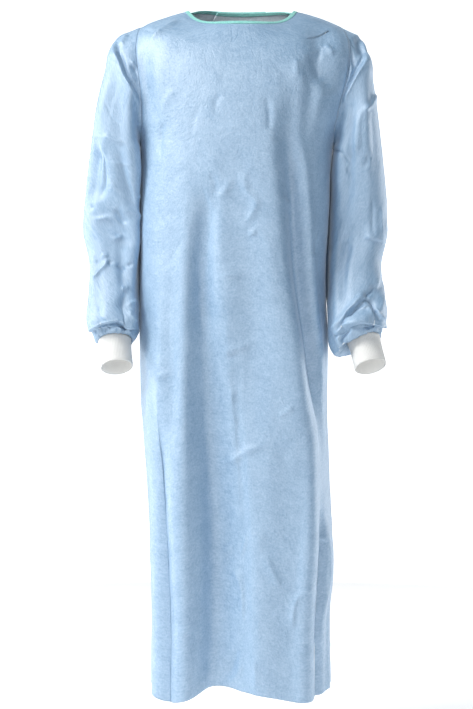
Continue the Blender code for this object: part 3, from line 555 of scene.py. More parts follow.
def cloud(places: Array, size: float, seed: int) -> Array:
    """Smooth noise from -1 to 1.

    Args:
        places: Points, in the units of size.
        size: Distance over which the noise changes.
        seed: Picks one noise of many.

    Returns:
        One value for each point.
    """
    grid = places / size
    cell = np.floor(grid).astype(np.int64)
    share = smooth_step(grid - cell)
    total = np.zeros(places.shape[:-1])
    for corner in np.ndindex(*(2,) * places.shape[-1]):
        key = np.full(total.shape, seed * SEED_STEP + SEED_START, dtype=np.int64)
        weight = np.ones(total.shape)
        for axis, step in enumerate(corner):
            key = key * KEY_STEP + (cell[..., axis] + step) * SCATTER[axis]
            key = (key ^ (key >> KEY_SHIFT)) & KEY_LIMIT
            weight *= share[..., axis] if step else 1.0 - share[..., axis]
        value = ((key * LAST_FACTOR + LAST_STEP) & KEY_LIMIT) / float(KEY_LIMIT)
        total += weight * (2.0 * value - 1.0)
    return total


class Columns:
    """The columns of a table of rings, each read on a smooth curve through every ring."""

    def __init__(self, rings: Sequence[tuple]) -> None:
        """Keep the numbers of the rings; the first column is their name."""
        self.names = rings[0]._fields[1:]
        self.values = np.array([ring[1:] for ring in rings], dtype=float)

    def at(self, row: Array) -> dict[str, Array]:
        """Every column at fractional rows.

        Args:
            row: Rows, of any shape.

        Returns:
            An array of that shape for each column's name.
        """
        last = len(self.values) - 1
        row = np.clip(row, 0.0, float(last))
        start = np.minimum(row.astype(int), last - 1)
        share = (row - start)[..., None]
        near = [self.values[np.clip(start + step, 0, last)] for step in (-1, 0, 1, 2)]
        value = spline(near, share)
        return {name: value[..., index] for index, name in enumerate(self.names)}


# ---- creases ---------------------------------------------------------------
@dataclass
class CreaseField:
    """Many creases at once, as a height over a flat plane."""

    creases: Sequence[Crease]

    TAPER = 0.28                # share of a crease over which each end dies away
    REACH = 24.0                # how far behind its edge an overlying cloth stays raised
    SPAN_STEPS = 5
    LIP, LIP_AT = 0.22, 1.0     # how much an overlying edge swells, widths inside its line
    NIP, NIP_AT = 0.40, 1.2     # how much the cloth under it dips, widths outside it
    STEEPNESS = 2.0
    SHARP_SLOPE = 1.5           # of a crease with a sharp edge, against its width
    LINE_MARGIN, OVER_MARGIN = 4.0, 2.2     # how far out a crease is still worked out

    @classmethod
    def line(cls, points: Sequence[tuple[float, float]]) -> Array:
        """A smooth line through a crease's points.

        Args:
            points: Two or more, in millimetres.

        Returns:
            Points close together; two given points stay as they are.
        """
        given = np.array(points, dtype=float)
        if len(given) == 2:
            return given
        ends = np.vstack([2 * given[0] - given[1], given, 2 * given[-1] - given[-2]])
        line = []
        for index in range(len(given) - 1):
            line += [spline(ends[index:index + 4], step / cls.SPAN_STEPS)
                     for step in range(cls.SPAN_STEPS)]
        return np.vstack([*line, given[-1]])

    def heights(self, places: Array) -> Array:
        """How far the creases move the cloth outwards.

        Args:
            places: Points of the plane, in millimetres, in an array of any shape.

        Returns:
            A height in millimetres for each point.
        """
        shape, places = places.shape[:-1], places.reshape(-1, 2)
        total = np.zeros(len(places))
        for crease in self.creases:
            line = self.line(crease.points)
            over = crease.lay is not Lay.LINE
            margin = self.OVER_MARGIN * self.REACH if over else self.LINE_MARGIN * crease.width
            near = np.all((places > line.min(0) - margin) & (places < line.max(0) + margin), 1)
            if near.any():
                total[near] += self._one(crease, line, places[near])
        return total.reshape(shape)

    def _one(self, crease: Crease, line: Array, places: Array) -> Array:
        """Heights of one crease at places near it.

        Args:
            crease: What it is like.
            line: Its smooth line.
            places: The points.

        Returns:
            A height for each.
        """
        start, step = line[:-1], np.diff(line, axis=0)
        length = np.linalg.norm(step, axis=1)
        away = places[:, None, :] - start
        along = np.clip((away * step).sum(-1) / length ** 2, 0.0, 1.0)
        gap = away - along[..., None] * step
        distance = np.linalg.norm(gap, axis=-1)
        nearest = distance.argmin(1)
        pick = np.arange(len(places)), nearest
        cross = step[:, 0] * away[..., 1] - step[:, 1] * away[..., 0]
        signed = np.copysign(distance[pick], cross[pick])
        passed = np.concatenate([[0.0], np.cumsum(length)])
        share = (passed[nearest] + along[pick] * length[nearest]) / passed[-1]
        taper = smooth_step(share / self.TAPER) * smooth_step((1.0 - share) / self.TAPER)
        if crease.lay is Lay.LINE:
            offset = np.abs(signed) / crease.width
            sharp = np.exp(-self.SHARP_SLOPE * offset)
            section = blend(np.exp(-offset ** 2), sharp, crease.crisp)
        else:
            over = signed * crease.lay.value / crease.width
            section = 0.5 * (1.0 + np.tanh(self.STEEPNESS * over))
            section *= np.exp(-(np.maximum(over, 0.0) * crease.width / self.REACH) ** 2)
            section += self.LIP * np.exp(-self.STEEPNESS * (over - self.LIP_AT) ** 2)
            section -= self.NIP * np.exp(-self.STEEPNESS * (over + self.NIP_AT) ** 2)
        return crease.height * section * taper


FAINT_UPRIGHT, FAINT_LEAN = 0.7, 32.0   # this share stands within this spread of upright
FAINT_CROSS = (50.0, 130.0)             # degrees from upright of the others
FAINT_REACHES, FAINT_BENDS = (12.0, 48.0), (-6.0, 6.0)
FAINT_HEIGHTS, FAINT_WIDTHS, FAINT_CRISP = (0.35, 1.15), (3.5, 8.0), (0.2, 0.8)


def faint_creases(width: float, length: float, count: int, seed: int) -> list[Crease]:
    """Small uneven creases, as handling leaves them in such cloth.

    Args:
        width: Of the flat cloth, in millimetres, about its middle line.
        length: Of the flat cloth.
        count: How many.
        seed: Picks one pattern of many.

    Returns:
        The creases, on the flat cloth.
    """
    draw = random.Random(seed)
    creases = []
    for number in range(count):
        across, up = draw.uniform(-width / 2, width / 2), draw.uniform(0.0, length)
        upright = draw.random() < FAINT_UPRIGHT
        lean = draw.gauss(0.0, FAINT_LEAN) if upright else draw.uniform(*FAINT_CROSS)
        reach, bend = draw.uniform(*FAINT_REACHES), draw.uniform(*FAINT_BENDS)
        ahead = np.array((math.sin(math.radians(lean)), math.cos(math.radians(lean)))) * reach
        aside = np.array((ahead[1], -ahead[0])) / reach * bend
        middle = np.array((across, up))
        points = (tuple(middle - ahead), tuple(middle + aside), tuple(middle + ahead))
        height = draw.choice((-1.0, 1.0)) * draw.uniform(*FAINT_HEIGHTS)
        creases.append(Crease(f"faint {number}", points, draw.uniform(*FAINT_WIDTHS), height,
                              draw.uniform(*FAINT_CRISP)))
    return creases


# ---- forms -----------------------------------------------------------------
class BodyForm:
    """The body's surface, by an angle from the front centre and a row of the rings."""

    FRAME_ANGLE, FRAME_ROWS = 0.5, 0.03     # how far off its neighbours are read
    HEIGHT_STEPS = 1501

    def __init__(self) -> None:
        """Read the rings."""
        self.rings = Columns(BODY_RINGS)
        rows = np.linspace(0.0, TOP_ROW, self.HEIGHT_STEPS)
        self.row_heights = (self.rings.at(rows)["side_z"], rows)

    @staticmethod
    def fold_height(angle: Array, z: Array) -> Array:
        """How far all the long folds together move the cloth outwards there.

        Args:
            angle: From the front centre, in degrees.
            z: Height, in millimetres.

        Returns:
            Millimetres outwards, below 0 in a trough.
        """
        total = np.zeros(np.broadcast(angle, z).shape)
        for fold in BODY_FOLDS:
            reach = (fold.top - z) / (fold.top - fold.low)
            middle = (
                fold.at_top * (1.0 - reach) * (1.0 - 2.0 * reach)
                + fold.at_middle * 4.0 * reach * (1.0 - reach)
                + fold.at_low * reach * (2.0 * reach - 1.0)
            )
            width = blend(fold.width_top, fold.width_low, reach)
            grown = smooth_step((fold.top - z) / fold.fade_top)
            grown = grown * smooth_step((z - fold.low) / fold.fade_low)
            inside = (reach > 0.0) & (reach < 1.0)
            total += np.where(
                inside, fold.depth * grown * fold_shape(turn_between(angle, middle) / width), 0.0
            )
        return total

    @staticmethod
    def hem_drop(angle: Array) -> Array:
        """How much lower than its ring the hem hangs there.

        Args:
            angle: From the front centre, in degrees.

        Returns:
            Millimetres.
        """
        return sum(
            dip.drop * np.exp(-(turn_between(angle, dip.angle) / dip.width) ** 2)
            for dip in HEM_DIPS
        )

    def row_at(self, z: Array) -> Array:
        """Rows of the rings whose sides are at those heights."""
        return np.interp(z, *self.row_heights)

    def point(self, angle: Array, row: Array) -> Array:
        """Points of the surface, in millimetres.

        Args:
            angle: From the front centre, in degrees, above 0 on the left.
            row: Of the rings, 0 at the hem.

        Returns:
            Their x, y and z.
        """
        angle, row = np.broadcast_arrays(np.asarray(angle, float), np.asarray(row, float))
        ring = self.rings.at(row)
        turn = np.radians(angle)
        power = 2.0 / ring["squareness"]
        across = signed_power(np.sin(turn), power)
        forward = signed_power(np.cos(turn), power)
        in_front = forward > 0.0
        depth = np.where(in_front, ring["front"], ring["back"])
        middle_z = np.where(in_front, ring["front_z"], ring["back_z"])
        z = middle_z + (ring["side_z"] - middle_z) * np.abs(across) ** ring["level"]
        out = unit(np.stack([
            signed_power(across, ring["squareness"] - 1.0) / ring["half_width"],
            -signed_power(forward, ring["squareness"] - 1.0) / depth,
            np.zeros_like(z),
        ], -1))
        raised = self.fold_height(angle, z)
        near_hem = smooth_step(1.0 - (z - BODY_RINGS[0].side_z) / HEM_REACH)
        drop = (HEM_RISE * np.minimum(raised, 0.0) + self.hem_drop(angle)) * near_hem
        place = np.stack([ring["shift"] + ring["half_width"] * across, -depth * forward, z - drop],
                         -1)
        return place + out * raised[..., None]

    def frame(self, angle: Array, row: Array, rows: float = FRAME_ROWS) -> tuple[Array, ...]:
        """Points, outward normals and upward directions of the surface.

        Args:
            angle: As for a point.
            row: As for a point.
            rows: How far up and down the neighbours are read.

        Returns:
            Those three.
        """
        sideways = self.point(angle + self.FRAME_ANGLE, row)
        sideways = sideways - self.point(angle - self.FRAME_ANGLE, row)
        low, high = np.maximum(row - rows, 0.0), np.minimum(row + rows, TOP_ROW)
        upwards = unit(self.point(angle, high) - self.point(angle, low))
        return self.point(angle, row), unit(np.cross(sideways, upwards)), upwards

    def lifted(self, angle: Array, row: Array, lift: Array) -> Array:
        """Points of the surface, moved outwards."""
        place, out, _ = self.frame(angle, row)
        return place + out * np.asarray(lift)[..., None]

    @staticmethod
    def armhole(turn: Array, scoop: float) -> tuple[Array, Array]:
        """Angle and row of an armhole's edge; turn is 0 at the underarm, pi at the shoulder.

        Args:
            turn: Round the armhole.
            scoop: How many degrees it cuts in.

        Returns:
            Degrees from the front centre, and rows of the rings.
        """
        share = (1.0 - np.cos(turn)) / 2.0
        return (SEAM_ANGLE - scoop * np.sin(turn),
                blend(ROW["underarm"], ROW["shoulder tip"], share))

    def panel_rows(self) -> tuple[Array, Array]:
        """Rows of a body panel from the hem to the neck, and its armhole turn or -1.

        Returns:
            The rows, and the turn of each.
        """
        low, underarm = BODY_RINGS[0].side_z, BODY_RINGS[ROW["underarm"]].side_z
        skirt = self.row_at(np.linspace(low, underarm, SKIRT_ROWS + 1)[:-1])
        turn = np.linspace(0.0, math.pi, ARMHOLE_ROWS + 1)
        beside = self.armhole(turn, FRONT_SCOOP)[1]
        above = np.linspace(ROW["shoulder tip"], TOP_ROW, SHOULDER_ROWS + 1)[1:]
        rows = np.concatenate([skirt, beside, above])
        none = -np.ones(len(skirt)), -np.ones(len(above))
        return rows, np.concatenate([none[0], turn, none[1]])

    @staticmethod
    def outer_lift(angle: Array) -> Array:
        """How far the outer back has left the ring of the inner one at this angle."""
        return LAYER_STEP * smooth_step((np.abs(angle) - LIFT_FROM) / (LIFT_FULL - LIFT_FROM))

    def surface_lift(self, angle: Array) -> Array:
        """How far the outermost cloth of the back lies outside the body's ring."""
        covered = (angle < 0.0) | (angle > 180.0 - OVERLAP)
        return np.where(covered, self.outer_lift(angle), 0.0)

    @staticmethod
    def back_angle(step: float) -> float:
        """Angle of a step along a back, counted from its side seam."""
        return blend(SEAM_ANGLE, 180.0 - OVERLAP, step / BACK_STEPS)


class SleeveForm:
    """A sleeve's surface; turn is 0 at its inner side, pi at its outer side, front between."""

    def __init__(self, side: int, body: BodyForm) -> None:
        """Pick the tables of one side: 1 is the wearer's left, -1 the right.

        Args:
            side: 1 or -1.
            body: The surface with the armholes.
        """
        self.side = side
        self.body = body
        left = side > 0
        self.rings = Columns(LEFT_SLEEVE if left else RIGHT_SLEEVE)
        self.folds = LEFT_SLEEVE_FOLDS if left else RIGHT_SLEEVE_FOLDS
        self.cuff_shape = LEFT_CUFF if left else RIGHT_CUFF
        self.last = len(LEFT_SLEEVE) - 1

    def fold_height(self, angle: Array, z: Array) -> Array:
        """How far the sleeve's folds move its cloth outwards there.

        Args:
            angle: Round the sleeve, 0 outside and 90 in front.
            z: Height, in millimetres.

        Returns:
            Millimetres outwards, below 0 in a trough.
        """
        total = np.zeros(np.broadcast(angle, z).shape)
        for fold in self.folds:
            reach = (fold.top - z) / (fold.top - fold.low)
            offset = turn_between(angle, blend(fold.at_top, fold.at_low, reach)) / fold.width
            grown = np.sin(math.pi * np.clip(reach, 0.0, 1.0))
            total += fold.depth * grown * fold_shape(offset)
        return total

    def tube(self, turn: Array, row: Array) -> Array:
        """Points of the hanging part, in millimetres.

        Args:
            turn: Round the sleeve, in radians.
            row: Of the sleeve's rings, 0 at the top.

        Returns:
            Their x, y and z.
        """
        turn, row = np.broadcast_arrays(np.asarray(turn, float), np.asarray(row, float))
        ring = self.rings.at(row)
        outward, forward = -np.cos(turn), np.sin(turn)
        angle = np.degrees(np.arctan2(forward, outward))
        power = np.where(forward > 0.0, 2.0 / SLEEVE_SQUARENESS, 1.0)
        outward, forward = signed_power(outward, power), signed_power(forward, power)
        z = ring["z"] + outward * ring["outer_rise"] + forward * ring["front_rise"]
        raised = ring["gather"] * np.cos(GATHERS * turn) + self.fold_height(angle, z)
        behind = -TUCK_PEAK * np.sin(2.0 * turn) ** 2 * np.sin(turn)
        behind = np.where(turn > 1.5 * math.pi, behind, 0.0)
        out = unit(np.stack([self.side * outward / ring["half_width"],
                             -forward / ring["half_depth"], np.zeros_like(z)], -1))
        place = np.stack([
            self.side * (ring["x"] + outward * ring["half_width"] - ring["tuck"] * behind),
            ring["y"] - forward * ring["half_depth"],
            z,
        ], -1)
        return place + out * raised[..., None]

    def armhole_place(self, turn: Array) -> tuple[Array, Array]:
        """Angle and row on the body of the whole armhole's seam line.

        Args:
            turn: Round the sleeve, in radians.

        Returns:
            Degrees from the front centre, and rows of the body.
        """
        front = self.body.armhole(turn, FRONT_SCOOP)
        back = self.body.armhole(2.0 * math.pi - turn, BACK_SCOOP)
        angle = np.where(turn <= math.pi, front[0], 2.0 * SEAM_ANGLE - back[0])
        return self.side * angle, np.where(turn <= math.pi, front[1], back[1])

    def cap(self, turn: Array, share: Array) -> Array:
        """Points between the armhole and the first full ring.

        Args:
            turn: Round the sleeve, in radians.
            share: 0 at the armhole, 1 at the ring.

        Returns:
            Their x, y and z.
        """
        start = self.body.point(*self.armhole_place(turn))
        end = self.tube(turn, 0.0)
        beyond = self.tube(turn, CAP_AIM)
        length = np.linalg.norm(end - start, axis=-1, keepdims=True)
        inner = ((1.0 + np.cos(turn)) / 2.0) ** 3
        leave = unit(np.array((self.side, 0.0, -CAP_DROP))) * length * CAP_SPREAD
        leave = leave * (1.0 - INNER_LEAVE * inner)[..., None]
        arrive = unit(beyond - end) * length
        corner = np.exp(-((share - CORNER_AT) / CORNER_WIDTH) ** 2)
        corner = corner * smooth_step(-np.cos(turn)) * smooth_step(share / CORNER_AT)
        share = np.asarray(share)[..., None]
        square, cube = share ** 2, share ** 3
        return (
            np.array((self.side, 0.0, CORNER_LIFT)) * corner[..., None] * CORNER
            + start * (2.0 * cube - 3.0 * square + 1.0)
            + leave * (cube - 2.0 * square + share)
            + end * (3.0 * square - 2.0 * cube)
            + arrive * (cube - square)
        )

    def cuff_axes(self) -> tuple[Array, Array, Array, Array]:
        """The cuff's top and low middle, its outward and its forward direction.

        Returns:
            Those four.
        """
        mirror = np.array((self.side, 1.0, 1.0))
        top = np.array(self.cuff_shape.top) * mirror
        low = np.array(self.cuff_shape.low) * mirror
        axis = unit(low - top)
        outward = unit(np.array((self.side, 0.0, 0.0)) - axis * axis[0] * self.side)
        return top, low, outward, np.cross(axis, outward) * self.side

    def cuff(self, turn: Array, share: Array, lift: Array | float = 0.0) -> Array:
        """Points of the cuff; share is 0 at the sleeve's end and 1 at the hand.

        Args:
            turn: Round the sleeve, in radians.
            share: Along the cuff.
            lift: Millimetres outwards.

        Returns:
            Their x, y and z.
        """
        top, low, outward, forward = self.cuff_axes()
        shape = self.cuff_shape
        ends = blend(shape.top_radius, shape.low_radius, share)
        bow = np.sin(math.pi * np.clip(share, 0.0, 1.0))
        radius = ends - (ends - shape.waist_radius) * bow + lift
        turn, radius, share = np.broadcast_arrays(turn, radius, share)
        spoke = forward * np.sin(turn)[..., None] - outward * np.cos(turn)[..., None]
        return top + (low - top) * share[..., None] + spoke * radius[..., None]


# ---- a cloth piece as a grid -----------------------------------------------
@dataclass
class ClothGrid:
    """Points of a cloth piece in rows and columns, in millimetres."""

    points: Array               # rows by columns by three
    closed: bool                # whether the last column joins the first
    outward: int                # 1 where columns across rows gives the outer side, else -1

    def _ahead(self) -> Array:
        """Steps from each column to the next one.

        Returns:
            Millimetres along x, y and z.
        """
        if self.closed:
            return np.roll(self.points, -1, axis=1) - self.points
        return np.diff(self.points, axis=1)

    def across(self) -> Array:
        """Distance of every point along its row, from the first column.

        Returns:
            Millimetres.
        """
        length = np.linalg.norm(self._ahead(), axis=-1)
        if self.closed:
            length = length[:, :-1]
        return np.pad(np.cumsum(length, axis=1), ((0, 0), (1, 0)))

    def along(self) -> Array:
        """Distance of every point along its column, from the first row."""
        length = np.linalg.norm(np.diff(self.points, axis=0), axis=-1)
        return np.pad(np.cumsum(length, axis=0), ((1, 0), (0, 0)))

    def normals(self) -> Array:
        """The cloth's outer directions.

        Returns:
            A step of length 1 for each point.
        """
        if self.closed:
            sideways = np.roll(self.points, -1, axis=1) - np.roll(self.points, 1, axis=1)
        else:
            sideways = np.gradient(self.points, axis=1)
        return unit(np.cross(sideways, np.gradient(self.points, axis=0))) * self.outward

    def raise_by(self, heights: Array) -> None:
        """Move the points outwards."""
        self.points = self.points + self.normals() * heights[..., None]

    def area(self) -> float:
        """Area of the surface, in square metres.

        Returns:
            Of one side, without the wall.
        """
        ahead = self._ahead()
        up = np.diff(self.points, axis=0)
        columns = ahead.shape[1]
        first = np.cross(ahead[:-1], up[:, :columns])
        return float(np.linalg.norm(first, axis=-1).sum()) * MM * MM

    def mesh(self, name: str) -> Mesh:
        """A mesh of quads, with the flat lie of the cloth in metres as its UV map.

        Args:
            name: Of the mesh.

        Returns:
            The mesh.
        """
        index = np.arange(self.points[..., 0].size).reshape(self.points.shape[:2])
        across = np.median(self.across(), axis=0) * MM
        flat_u, flat_v = across - across[-1] / 2.0, self.along() * MM
        if self.closed:
            wide = across[-1] + (across[-1] - across[-2])
            flat_u = np.append(flat_u, wide - across[-1] / 2.0)
            index = np.concatenate([index, index[:, :1]], 1)
            flat_v = np.concatenate([flat_v, flat_v[:, :1]], 1)
        corners = quad_corners(index).reshape(-1, 4)
        flat = np.stack([np.broadcast_to(flat_u, flat_v.shape), flat_v], -1)
        flat = quad_corners(flat).reshape(-1, 4, 2)
        if self.outward < 0:
            corners, flat = corners[:, ::-1], flat[:, ::-1]
        return mesh_from_faces(name, self.points.reshape(-1, 3) * MM, corners.tolist(), flat)


def mesh_from_faces(name: str, points: Array, faces: list[list[int]], flat: Array) -> Mesh:
    """A smooth mesh with a UV map.

    Args:
        name: Of the mesh.
        points: In metres.
        faces: Point numbers of each face, the quads first.
        flat: The four UV places of each quad.

    Returns:
        The mesh.
    """
    mesh = bpy.data.meshes.new(name)
    mesh.from_pydata(points.tolist(), [], faces)
    layer = mesh.uv_layers.new(name=UV_NAME)
    places = np.zeros((len(layer.data), 2), dtype=np.float32)
    places[:len(flat) * 4] = flat.reshape(-1, 2)
    layer.data.foreach_set("uv", places.ravel())
    mesh.shade_smooth()
    mesh.update()
    return mesh


def add_object(name: str, data: ID, materials: Sequence[Material] = ()) -> Object:
    """An object at the origin, of a mesh with these materials or of a light or camera.

    Args:
        name: Of the object.
        data: Its mesh, light or camera.
        materials: Of the mesh.

    Returns:
        The object.
    """
    for material in materials:
        data.materials.append(material)
    item = bpy.data.objects.new(name, data)
    bpy.context.scene.collection.objects.link(item)
    return item


def weld_ends(item: Object) -> None:
    """Join the last row of a closed piece to its first one."""
    weld = item.modifiers.new("close", "WELD")
    weld.merge_threshold = WELD_GAP * MM


# ---- shader graphs ---------------------------------------------------------
def add_node(tree: NodeTree, kind: str, settings: dict | None, inputs: dict | None) -> Node:
    """A new node with its settings, and values or outputs for its inputs.

    Args:
        tree: That it joins.
        kind: Its type.
        settings: Set first.
        inputs: By the name or number of the input.

    Returns:
        The node.
    """
    made = tree.nodes.new(kind)
    for key, value in (settings or {}).items():
        setattr(made, key, value)
    for key, value in (inputs or {}).items():
        if isinstance(value, NodeSocket):
            tree.links.new(value, made.inputs[key])
        else:
            made.inputs[key].default_value = value
    return made


@dataclass
class Socket:
    """A value in a material's graph; sums on it add the nodes that work them out."""

    graph: Graph
    output: NodeSocket

    def math(self, operation: str, *others: Socket | float) -> Socket:
        """This value and others through one Math node."""
        return self.graph.node("ShaderNodeMath", {"operation": operation},
                               dict(enumerate((self, *others))))

    def __add__(self, other: Socket | float) -> Socket:
        """Sum."""
        return self.math("ADD", other)

    def __sub__(self, other: Socket | float) -> Socket:
        """Difference."""
        return self.math("SUBTRACT", other)

    def __rsub__(self, other: float) -> Socket:
        """Difference from a number."""
        return self.math("MULTIPLY", -1.0).math("ADD", other)

    def __mul__(self, other: Socket | float) -> Socket:
        """Product."""
        return self.math("MULTIPLY", other)

    def sine(self) -> Socket:
        """Sine."""
        return self.math("SINE")


class Graph:
    """A material's node tree."""

    def __init__(self, name: str) -> None:
        """Start an empty material.

        Args:
            name: Of the material.
        """
        self.material = bpy.data.materials.new(name)
        self.material.use_nodes = True
        self.tree = self.material.node_tree
        self.tree.nodes.clear()

    def node(self, kind: str, settings: dict | None = None, inputs: dict | None = None,
             output: str | int = 0) -> Socket:
        """Add one node.

        Args:
            kind: The node's type.
            settings: Its own settings, set first.
            inputs: Values or Sockets, by the name or number of the input.
            output: The output that is wanted.

        Returns:
            That output.
        """
        given = {key: value.output if isinstance(value, Socket) else value
                 for key, value in (inputs or {}).items()}
        return Socket(self, add_node(self.tree, kind, settings, given).outputs[output])

    def first_two(self, place: Socket) -> tuple[Socket, Socket]:
        """The first two parts of a place."""
        first = self.node("ShaderNodeSeparateXYZ", None, {0: place})
        return first, Socket(self, first.output.node.outputs[1])

    def flat_place(self) -> Socket:
        """Place on the flat cloth, in metres."""
        return self.node("ShaderNodeUVMap", {"uv_map": UV_NAME})

    def object_place(self) -> Socket:
        """Place in the gown's own frame, in metres."""
        return self.node("ShaderNodeTexCoord", output="Object")

    def turned(self, place: Socket, degrees: float, scale: tuple[float, float, float]) -> Socket:
        """A place turned in the cloth and stretched.

        Args:
            place: The place.
            degrees: How far it turns.
            scale: How much it is stretched each way.

        Returns:
            The new place.
        """
        return self.node("ShaderNodeMapping", None, {
            "Vector": place, "Rotation": (0.0, 0.0, math.radians(degrees)), "Scale": scale,
        })

    def noise(self, place: Socket, scale: float, detail: float = 2.0,
              roughness: float = 0.5) -> Socket:
        """Noise about 0.5.

        Args:
            place: The place.
            scale: Cells to the metre.
            detail: How many finer layers.
            roughness: How strong they are.

        Returns:
            From 0 to 1.
        """
        return self.node("ShaderNodeTexNoise", None, {
            "Vector": place, "Scale": scale, "Detail": detail, "Roughness": roughness,
        })

    def mix(self, share: Socket, deep: Colour, pale: Colour) -> Socket:
        """A colour between two."""
        tones = {0: share, 6: (*deep, 1.0), 7: (*pale, 1.0)}
        return self.node("ShaderNodeMix", {"data_type": "RGBA"}, tones, 2)

    def bump(self, height: Socket, strength: float, distance: float) -> Socket:
        """A normal from a height in the unit of distance.

        Args:
            height: The height.
            strength: From 0 to 1.
            distance: The height's unit, in metres.

        Returns:
            The normal.
        """
        return self.node("ShaderNodeBump", None, {
            "Strength": strength, "Distance": distance, "Height": height,
        })

    def finish(self, **inputs: Socket | float | tuple) -> Material:
        """Close the graph with a Principled shader and return the material.

        Args:
            **inputs: By the shader's own names, with _ for a space.

        Returns:
            The material.
        """
        named = {key.replace("_", " "): value for key, value in inputs.items()}
        shader = self.node("ShaderNodeBsdfPrincipled", None, named)
        made = self.tree.nodes.new("ShaderNodeOutputMaterial")
        self.tree.links.new(shader.output, made.inputs["Surface"])
        return self.material


# ---- finishes --------------------------------------------------------------
@dataclass(frozen=True)
class Finish:
    """A finish that varies between a deep and a pale tone."""

    name: str
    deep: Colour
    pale: Colour

    def material(self) -> Material:
        """The finish as a material."""
        raise NotImplementedError


@dataclass(frozen=True)
class NonwovenFinish(Finish):
    """Spunbonded cloth: cloudy fibre, fine bond points, a soft satin sheen, and painted shade
    along crushed lines.
    """

    roughness: float = 0.60
    sheen: float = 0.5
    sheen_tint: Colour4 = (0.78, 0.89, 1.0, 1.0)
    relief: float = 1.0

    CLOUD_SIZE, MOTTLE_SIZE, FIBRE_SIZE = 0.009, 0.0036, 0.0014
    BOND_PITCH = 0.0016
    FIBRE_LEANS = (24.0, -38.0)
    CLOUD_SHADE, BROAD_SHADE, MOTTLE_SHADE, FIBRE_SHADE = 1.0, 0.7, 1.7, 0.7
    # the second number darkens the colour along the crushed lines: painted shade in their creases
    BOND_SHADE, LINE_SHADE = 0.03, 0.14
    CLOUD_HEIGHT, MOTTLE_HEIGHT, FIBRE_HEIGHT = 0.9, 0.45, 0.2
    BOND_HEIGHT, LINE_HEIGHT = 0.02, 0.22
    LINES = ((0.046, 0.0016), (0.021, 0.0012))  # distance from line to line, and their width

    def crushed(self, graph: Graph, flat: Socket, size: float, spread: float) -> Socket:
        """Sharp little lines where the cloth was once crushed: 1 on a line, 0 beside it.

        Args:
            graph: The material's graph.
            flat: Place on the flat cloth.
            size: Distance from line to line, in metres.
            spread: Width of a line, in metres.

        Returns:
            How deep in a line a place is.
        """
        bend = graph.node("ShaderNodeTexNoise", None,
                          {"Vector": flat, "Scale": 0.9 / size, "Detail": 2.0}, "Color")
        moved = graph.node("ShaderNodeVectorMath", {"operation": "MULTIPLY_ADD"},
                           {0: bend, 1: (size * 0.7,) * 3, 2: flat})
        edge = graph.node("ShaderNodeTexVoronoi", {"feature": "DISTANCE_TO_EDGE"}, {
            "Vector": graph.turned(moved, 12.0, (1.0, 0.36, 1.0)), "Scale": 1.0 / size})
        line = (1.0 - edge * (size / spread)).math("MAXIMUM", 0.0)
        shown = (graph.noise(flat, 0.8 / size, 1.0) - 0.53) * 7.0
        return line * shown.math("MAXIMUM", 0.0).math("MINIMUM", 1.0)

    def material(self) -> Material:
        """The finish as a material.

        Returns:
            The material.
        """
        graph = Graph(self.name)
        flat = graph.flat_place()
        clouds = graph.noise(flat, 1.0 / self.CLOUD_SIZE, 4.0, 0.62)
        broad = graph.noise(flat, 0.25 / self.CLOUD_SIZE, 2.0, 0.5)
        mottle = graph.noise(flat, 1.0 / self.MOTTLE_SIZE, 3.0, 0.65)
        one_way, other_way = (
            graph.noise(graph.turned(flat, lean, (1.0, squeeze, 1.0)), 1.0 / self.FIBRE_SIZE)
            for lean, squeeze in zip(self.FIBRE_LEANS, (0.16, 0.2)))
        fibres = (one_way + other_way) * 0.5
        lattice = graph.turned(flat, 45.0, (math.tau / self.BOND_PITCH,) * 3)
        across, up = graph.first_two(lattice)
        bonds = across.sine() * up.sine()
        wide, fine = (self.crushed(graph, flat, size, spread) for size, spread in self.LINES)
        lines = wide + fine
        density = ((mottle - 0.5) * self.MOTTLE_SHADE + (clouds - 0.5) * self.CLOUD_SHADE
                   + (broad - 0.5) * self.BROAD_SHADE + (fibres - 0.5) * self.FIBRE_SHADE + 0.5)
        # the crushed lines dent the relief and also darken the colour: painted shade
        density = density + bonds * self.BOND_SHADE - lines * self.LINE_SHADE
        colour = graph.mix(density, self.deep, self.pale)
        height = (mottle * self.MOTTLE_HEIGHT + clouds * self.CLOUD_HEIGHT
                  + fibres * self.FIBRE_HEIGHT - bonds * self.BOND_HEIGHT
                  - lines * self.LINE_HEIGHT)
        return graph.finish(
            Base_Color=colour,
            Roughness=(clouds - 0.5) * 0.25 + self.roughness,
            Normal=graph.bump(height, self.relief, 0.001),
            Sheen_Weight=self.sheen,
            Sheen_Roughness=0.35,
            Sheen_Tint=self.sheen_tint,
            Specular_IOR_Level=1.0,
            IOR=1.8,
        )


@dataclass(frozen=True)
class KnitFinish(Finish):
    """Fine ribbed knit, with its loops in the relief; where glow is set, a painted glow in its
    pale tone.
    """

    loop_width: float = 0.0013
    loop_height: float = 0.0010
    glow: float = 0.0           # painted glow: emission that stands in for light coming through the thin knit

    def material(self) -> Material:
        """The finish as a material.

        Returns:
            The material.
        """
        graph = Graph(self.name)
        flat = graph.flat_place()
        wide = graph.turned(flat, 0.0, (math.tau / self.loop_width,
                                        math.tau / self.loop_height, 1.0))
        across, up = graph.first_two(wide)
        loops = across.sine() * 0.5 + (up + across.sine() * 1.6).sine() * 0.5
        fuzz = graph.noise(flat, 900.0, 3.0, 0.6)
        soft = graph.noise(flat, 70.0, 2.0, 0.5)
        shade = loops * 0.18 + (fuzz - 0.5) * 0.5 + (soft - 0.5) * 0.5 + 0.6
        return graph.finish(
            Base_Color=graph.mix(shade, self.deep, self.pale),
            Roughness=(fuzz - 0.5) * 0.1 + 0.88,
            Normal=graph.bump(loops + fuzz * 0.5, 0.5, 0.0005),
            Sheen_Weight=0.3,
            Sheen_Roughness=0.5,
            Specular_IOR_Level=0.25,
            # painted glow: the knit's pale tone is emitted, as if lit from within
            Emission_Color=(*self.pale, 1.0),
            Emission_Strength=self.glow,
        )


